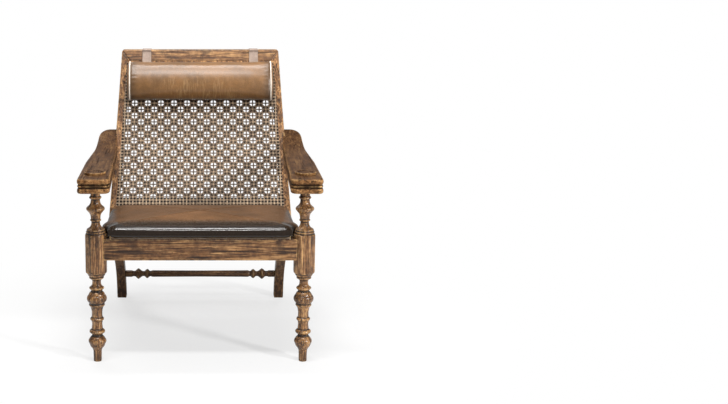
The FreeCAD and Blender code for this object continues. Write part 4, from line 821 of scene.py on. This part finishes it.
def stitchRows(name, middle, depth, low, high, body):
    seed = stitchSeed()
    made = []
    for row in (-1, 1):
        for z in np.arange(low, high, strap["pitch"]):
            spot, angle = scoopSpot(middle + row * (strap["width"] / 2 - strap["edge"]), z, depth)
            stitch = seed.copy()
            stitch.data = seed.data.copy()
            scene.collection.objects.link(stitch)
            flat = spotsOf(stitch)
            slant = math.radians(strap["slant"] * row)
            wide = flat[:, 0] * math.cos(slant) + flat[:, 2] * math.sin(slant)
            tall = flat[:, 2] * math.cos(slant) - flat[:, 0] * math.sin(slant)
            backward = flat[:, 1] * math.cos(angle) - tall * math.sin(angle)
            upward = flat[:, 1] * math.sin(angle) + tall * math.cos(angle)
            placeSpots(stitch, (np.column_stack([wide, backward, upward]) + np.array(spot)) / 1000)
            made.append(stitch)
    bpy.data.objects.remove(seed)
    pickOnly(made[0])
    for stitch in made:
        stitch.select_set(True)
    bpy.ops.object.join()
    piece = bpy.context.object
    piece.name = name
    return dress(piece, stitchThread, body)


def threadFinish():
    material, wire, place = newFinish("stitchThread")
    ply = wire.node("ShaderNodeTexWave", {"bands_direction": "DIAGONAL"}, {"Vector": place, "Scale": 900})
    wax = place.noise(600, 3)
    colour = (ply * 0.6 + wax * 0.4).tinted((0.30, 0.22, 0.14), (0.56, 0.46, 0.33))
    return shaderOf(material, ply, 0.15, 0.5, Base_Color=colour, Roughness=0.6 + wax * 0.15)


stitchThread = threadFinish()
for side, word in ((-1, "left"), (1, "right")):
    title = word.title()
    band = wornCopy("strap_" + word, "strap" + title, 0.8, 3)
    dress(band, strapLeather, "headrest")
    saddle = wornCopy("strap_saddle_" + word, "saddle" + title, 0.7, 2)
    dress(saddle, strapLeather)
    middle = side * strap["offset"]
    stitchRows("strapStitches" + title, middle, strap["depth"], strap["low"], strap["high"], "headrest")
    stitchRows(
        "saddleStitches" + title, middle, strap["saddleDepth"], strap["saddleLow"], strap["saddleHigh"], "chair"
    )
print("stage: straps stitched")

# CAD pieces whose shape stays
keptFinish = {
    "cane_spline": woodOfPosts, "leather_nails": agedBrass, "strap_studs": agedBrass, "strap_pins": blackedSteel,
    "corner_block_screws": blackedSteel, "seat_board_screws": blackedSteel, "arm_screws": blackedSteel,
    "dust_cover_tacks": blackedSteel, "seat_board": plyBoard, "dust_cover": blackLining,
    "back_rail_dowels": woodAlongX, "rear_rail_dowels": woodAlongX,
}
for node, finish in keptFinish.items():
    for place in nodes[node].material_slots:
        place.material = finish
print("stage: hardware finished")

studio = {
    "floor": (0.86, 0.86, 0.86), "floorSize": 30, "floorRough": 0.9, "ambient": 0.13, "glossy": 0.25,
    "glow": 0.64, "glowFrom": (0, 0.05, 0), "glowReach": (0.25, 1.1), "aim": (0, -0.05, 0.45),
}


def floorFinish():
    material = bpy.data.materials.new("paleFloor")
    material.use_nodes = True
    wire = Wire(material.node_tree)
    shader = material.node_tree.nodes["Principled BSDF"]
    shader.inputs["Base Color"].default_value = (*studio["floor"], 1)
    shader.inputs["Roughness"].default_value = studio["floorRough"]
    rays = wire.node("ShaderNodeLightPath", {}, {})
    glow = wire.node("ShaderNodeEmission", {}, {"Color": (1, 1, 1, 1), "Strength": 1.0})
    place = wire.node("ShaderNodeTexCoord", {}, {}, 3)
    away = wire.node("ShaderNodeVectorMath", {"operation": "DISTANCE"}, {0: place, 1: studio["glowFrom"]}, 1)
    share = rays * (away.within(*studio["glowReach"]) * (1 - studio["glow"]) + studio["glow"])
    blend = wire.node("ShaderNodeMixShader", {}, {0: share, 1: Wire(wire.tree, shader.outputs[0]), 2: glow})
    out = material.node_tree.nodes["Material Output"]
    wire.tree.links.new(blend.port, out.inputs["Surface"])
    return material


bpy.ops.object.select_all(action="DESELECT")
bpy.ops.mesh.primitive_plane_add(size=studio["floorSize"])
floor = bpy.context.object
floor.name = "floor"
floor.data.materials.append(floorFinish())

world = bpy.data.worlds.new("softRoom")
scene.world = world
world.use_nodes = True
rays = world.node_tree.nodes.new("ShaderNodeLightPath")
seen = Wire(world.node_tree, rays.outputs["Is Camera Ray"])
seen = seen.maths("MAXIMUM", Wire(world.node_tree, rays.outputs["Is Glossy Ray"]) * studio["glossy"])
seen = seen.maths("MAXIMUM", Wire(world.node_tree, rays.outputs["Is Transmission Ray"]))
backdrop = world.node_tree.nodes["Background"]
backdrop.inputs["Color"].default_value = (1, 1, 1, 1)
strength = seen * (1 - studio["ambient"]) + studio["ambient"]
world.node_tree.links.new(strength.port, backdrop.inputs["Strength"])

lamps = {
    "keyBox": {"at": (2.6, -2.4, 1.72), "wide": 0.34, "high": 0.34, "watts": 100},
    "topBox": {"at": (-0.2, -1.15, 2.9), "wide": 1.6, "high": 0.12, "watts": 52},
    "roofBox": {"at": (0, 0.15, 2.3), "wide": 1.4, "high": 0.26, "watts": 26},
    "rimBox": {"at": (-1.2, 1.6, 2.4), "wide": 1.2, "high": 1.2, "watts": 12},
}
for name, lamp in lamps.items():
    light = bpy.data.lights.new(name, "AREA")
    light.shape = "RECTANGLE"
    light.size, light.size_y, light.energy = lamp["wide"], lamp["high"], lamp["watts"]
    holder = bpy.data.objects.new(name, light)
    scene.collection.objects.link(holder)
    holder.location = lamp["at"]
    aim = Vector(studio["aim"]) - holder.location
    holder.rotation_euler = aim.to_track_quat("-Z", "Y").to_euler()

camera = {"at": (0, -3.7387, 1.1955), "pitch": 9.77, "lens": 57.61, "shift": (0.225, -0.05)}
lensData = bpy.data.cameras.new("photoCamera")
lensData.lens, lensData.sensor_width = camera["lens"], 36
lensData.shift_x, lensData.shift_y = camera["shift"]
viewer = bpy.data.objects.new("photoCamera", lensData)
scene.collection.objects.link(viewer)
viewer.location = camera["at"]
viewer.rotation_euler = (math.radians(90 - camera["pitch"]), 0, 0)
scene.camera = viewer
scene.view_settings.view_transform = "Standard"

print("stage: studio ready")
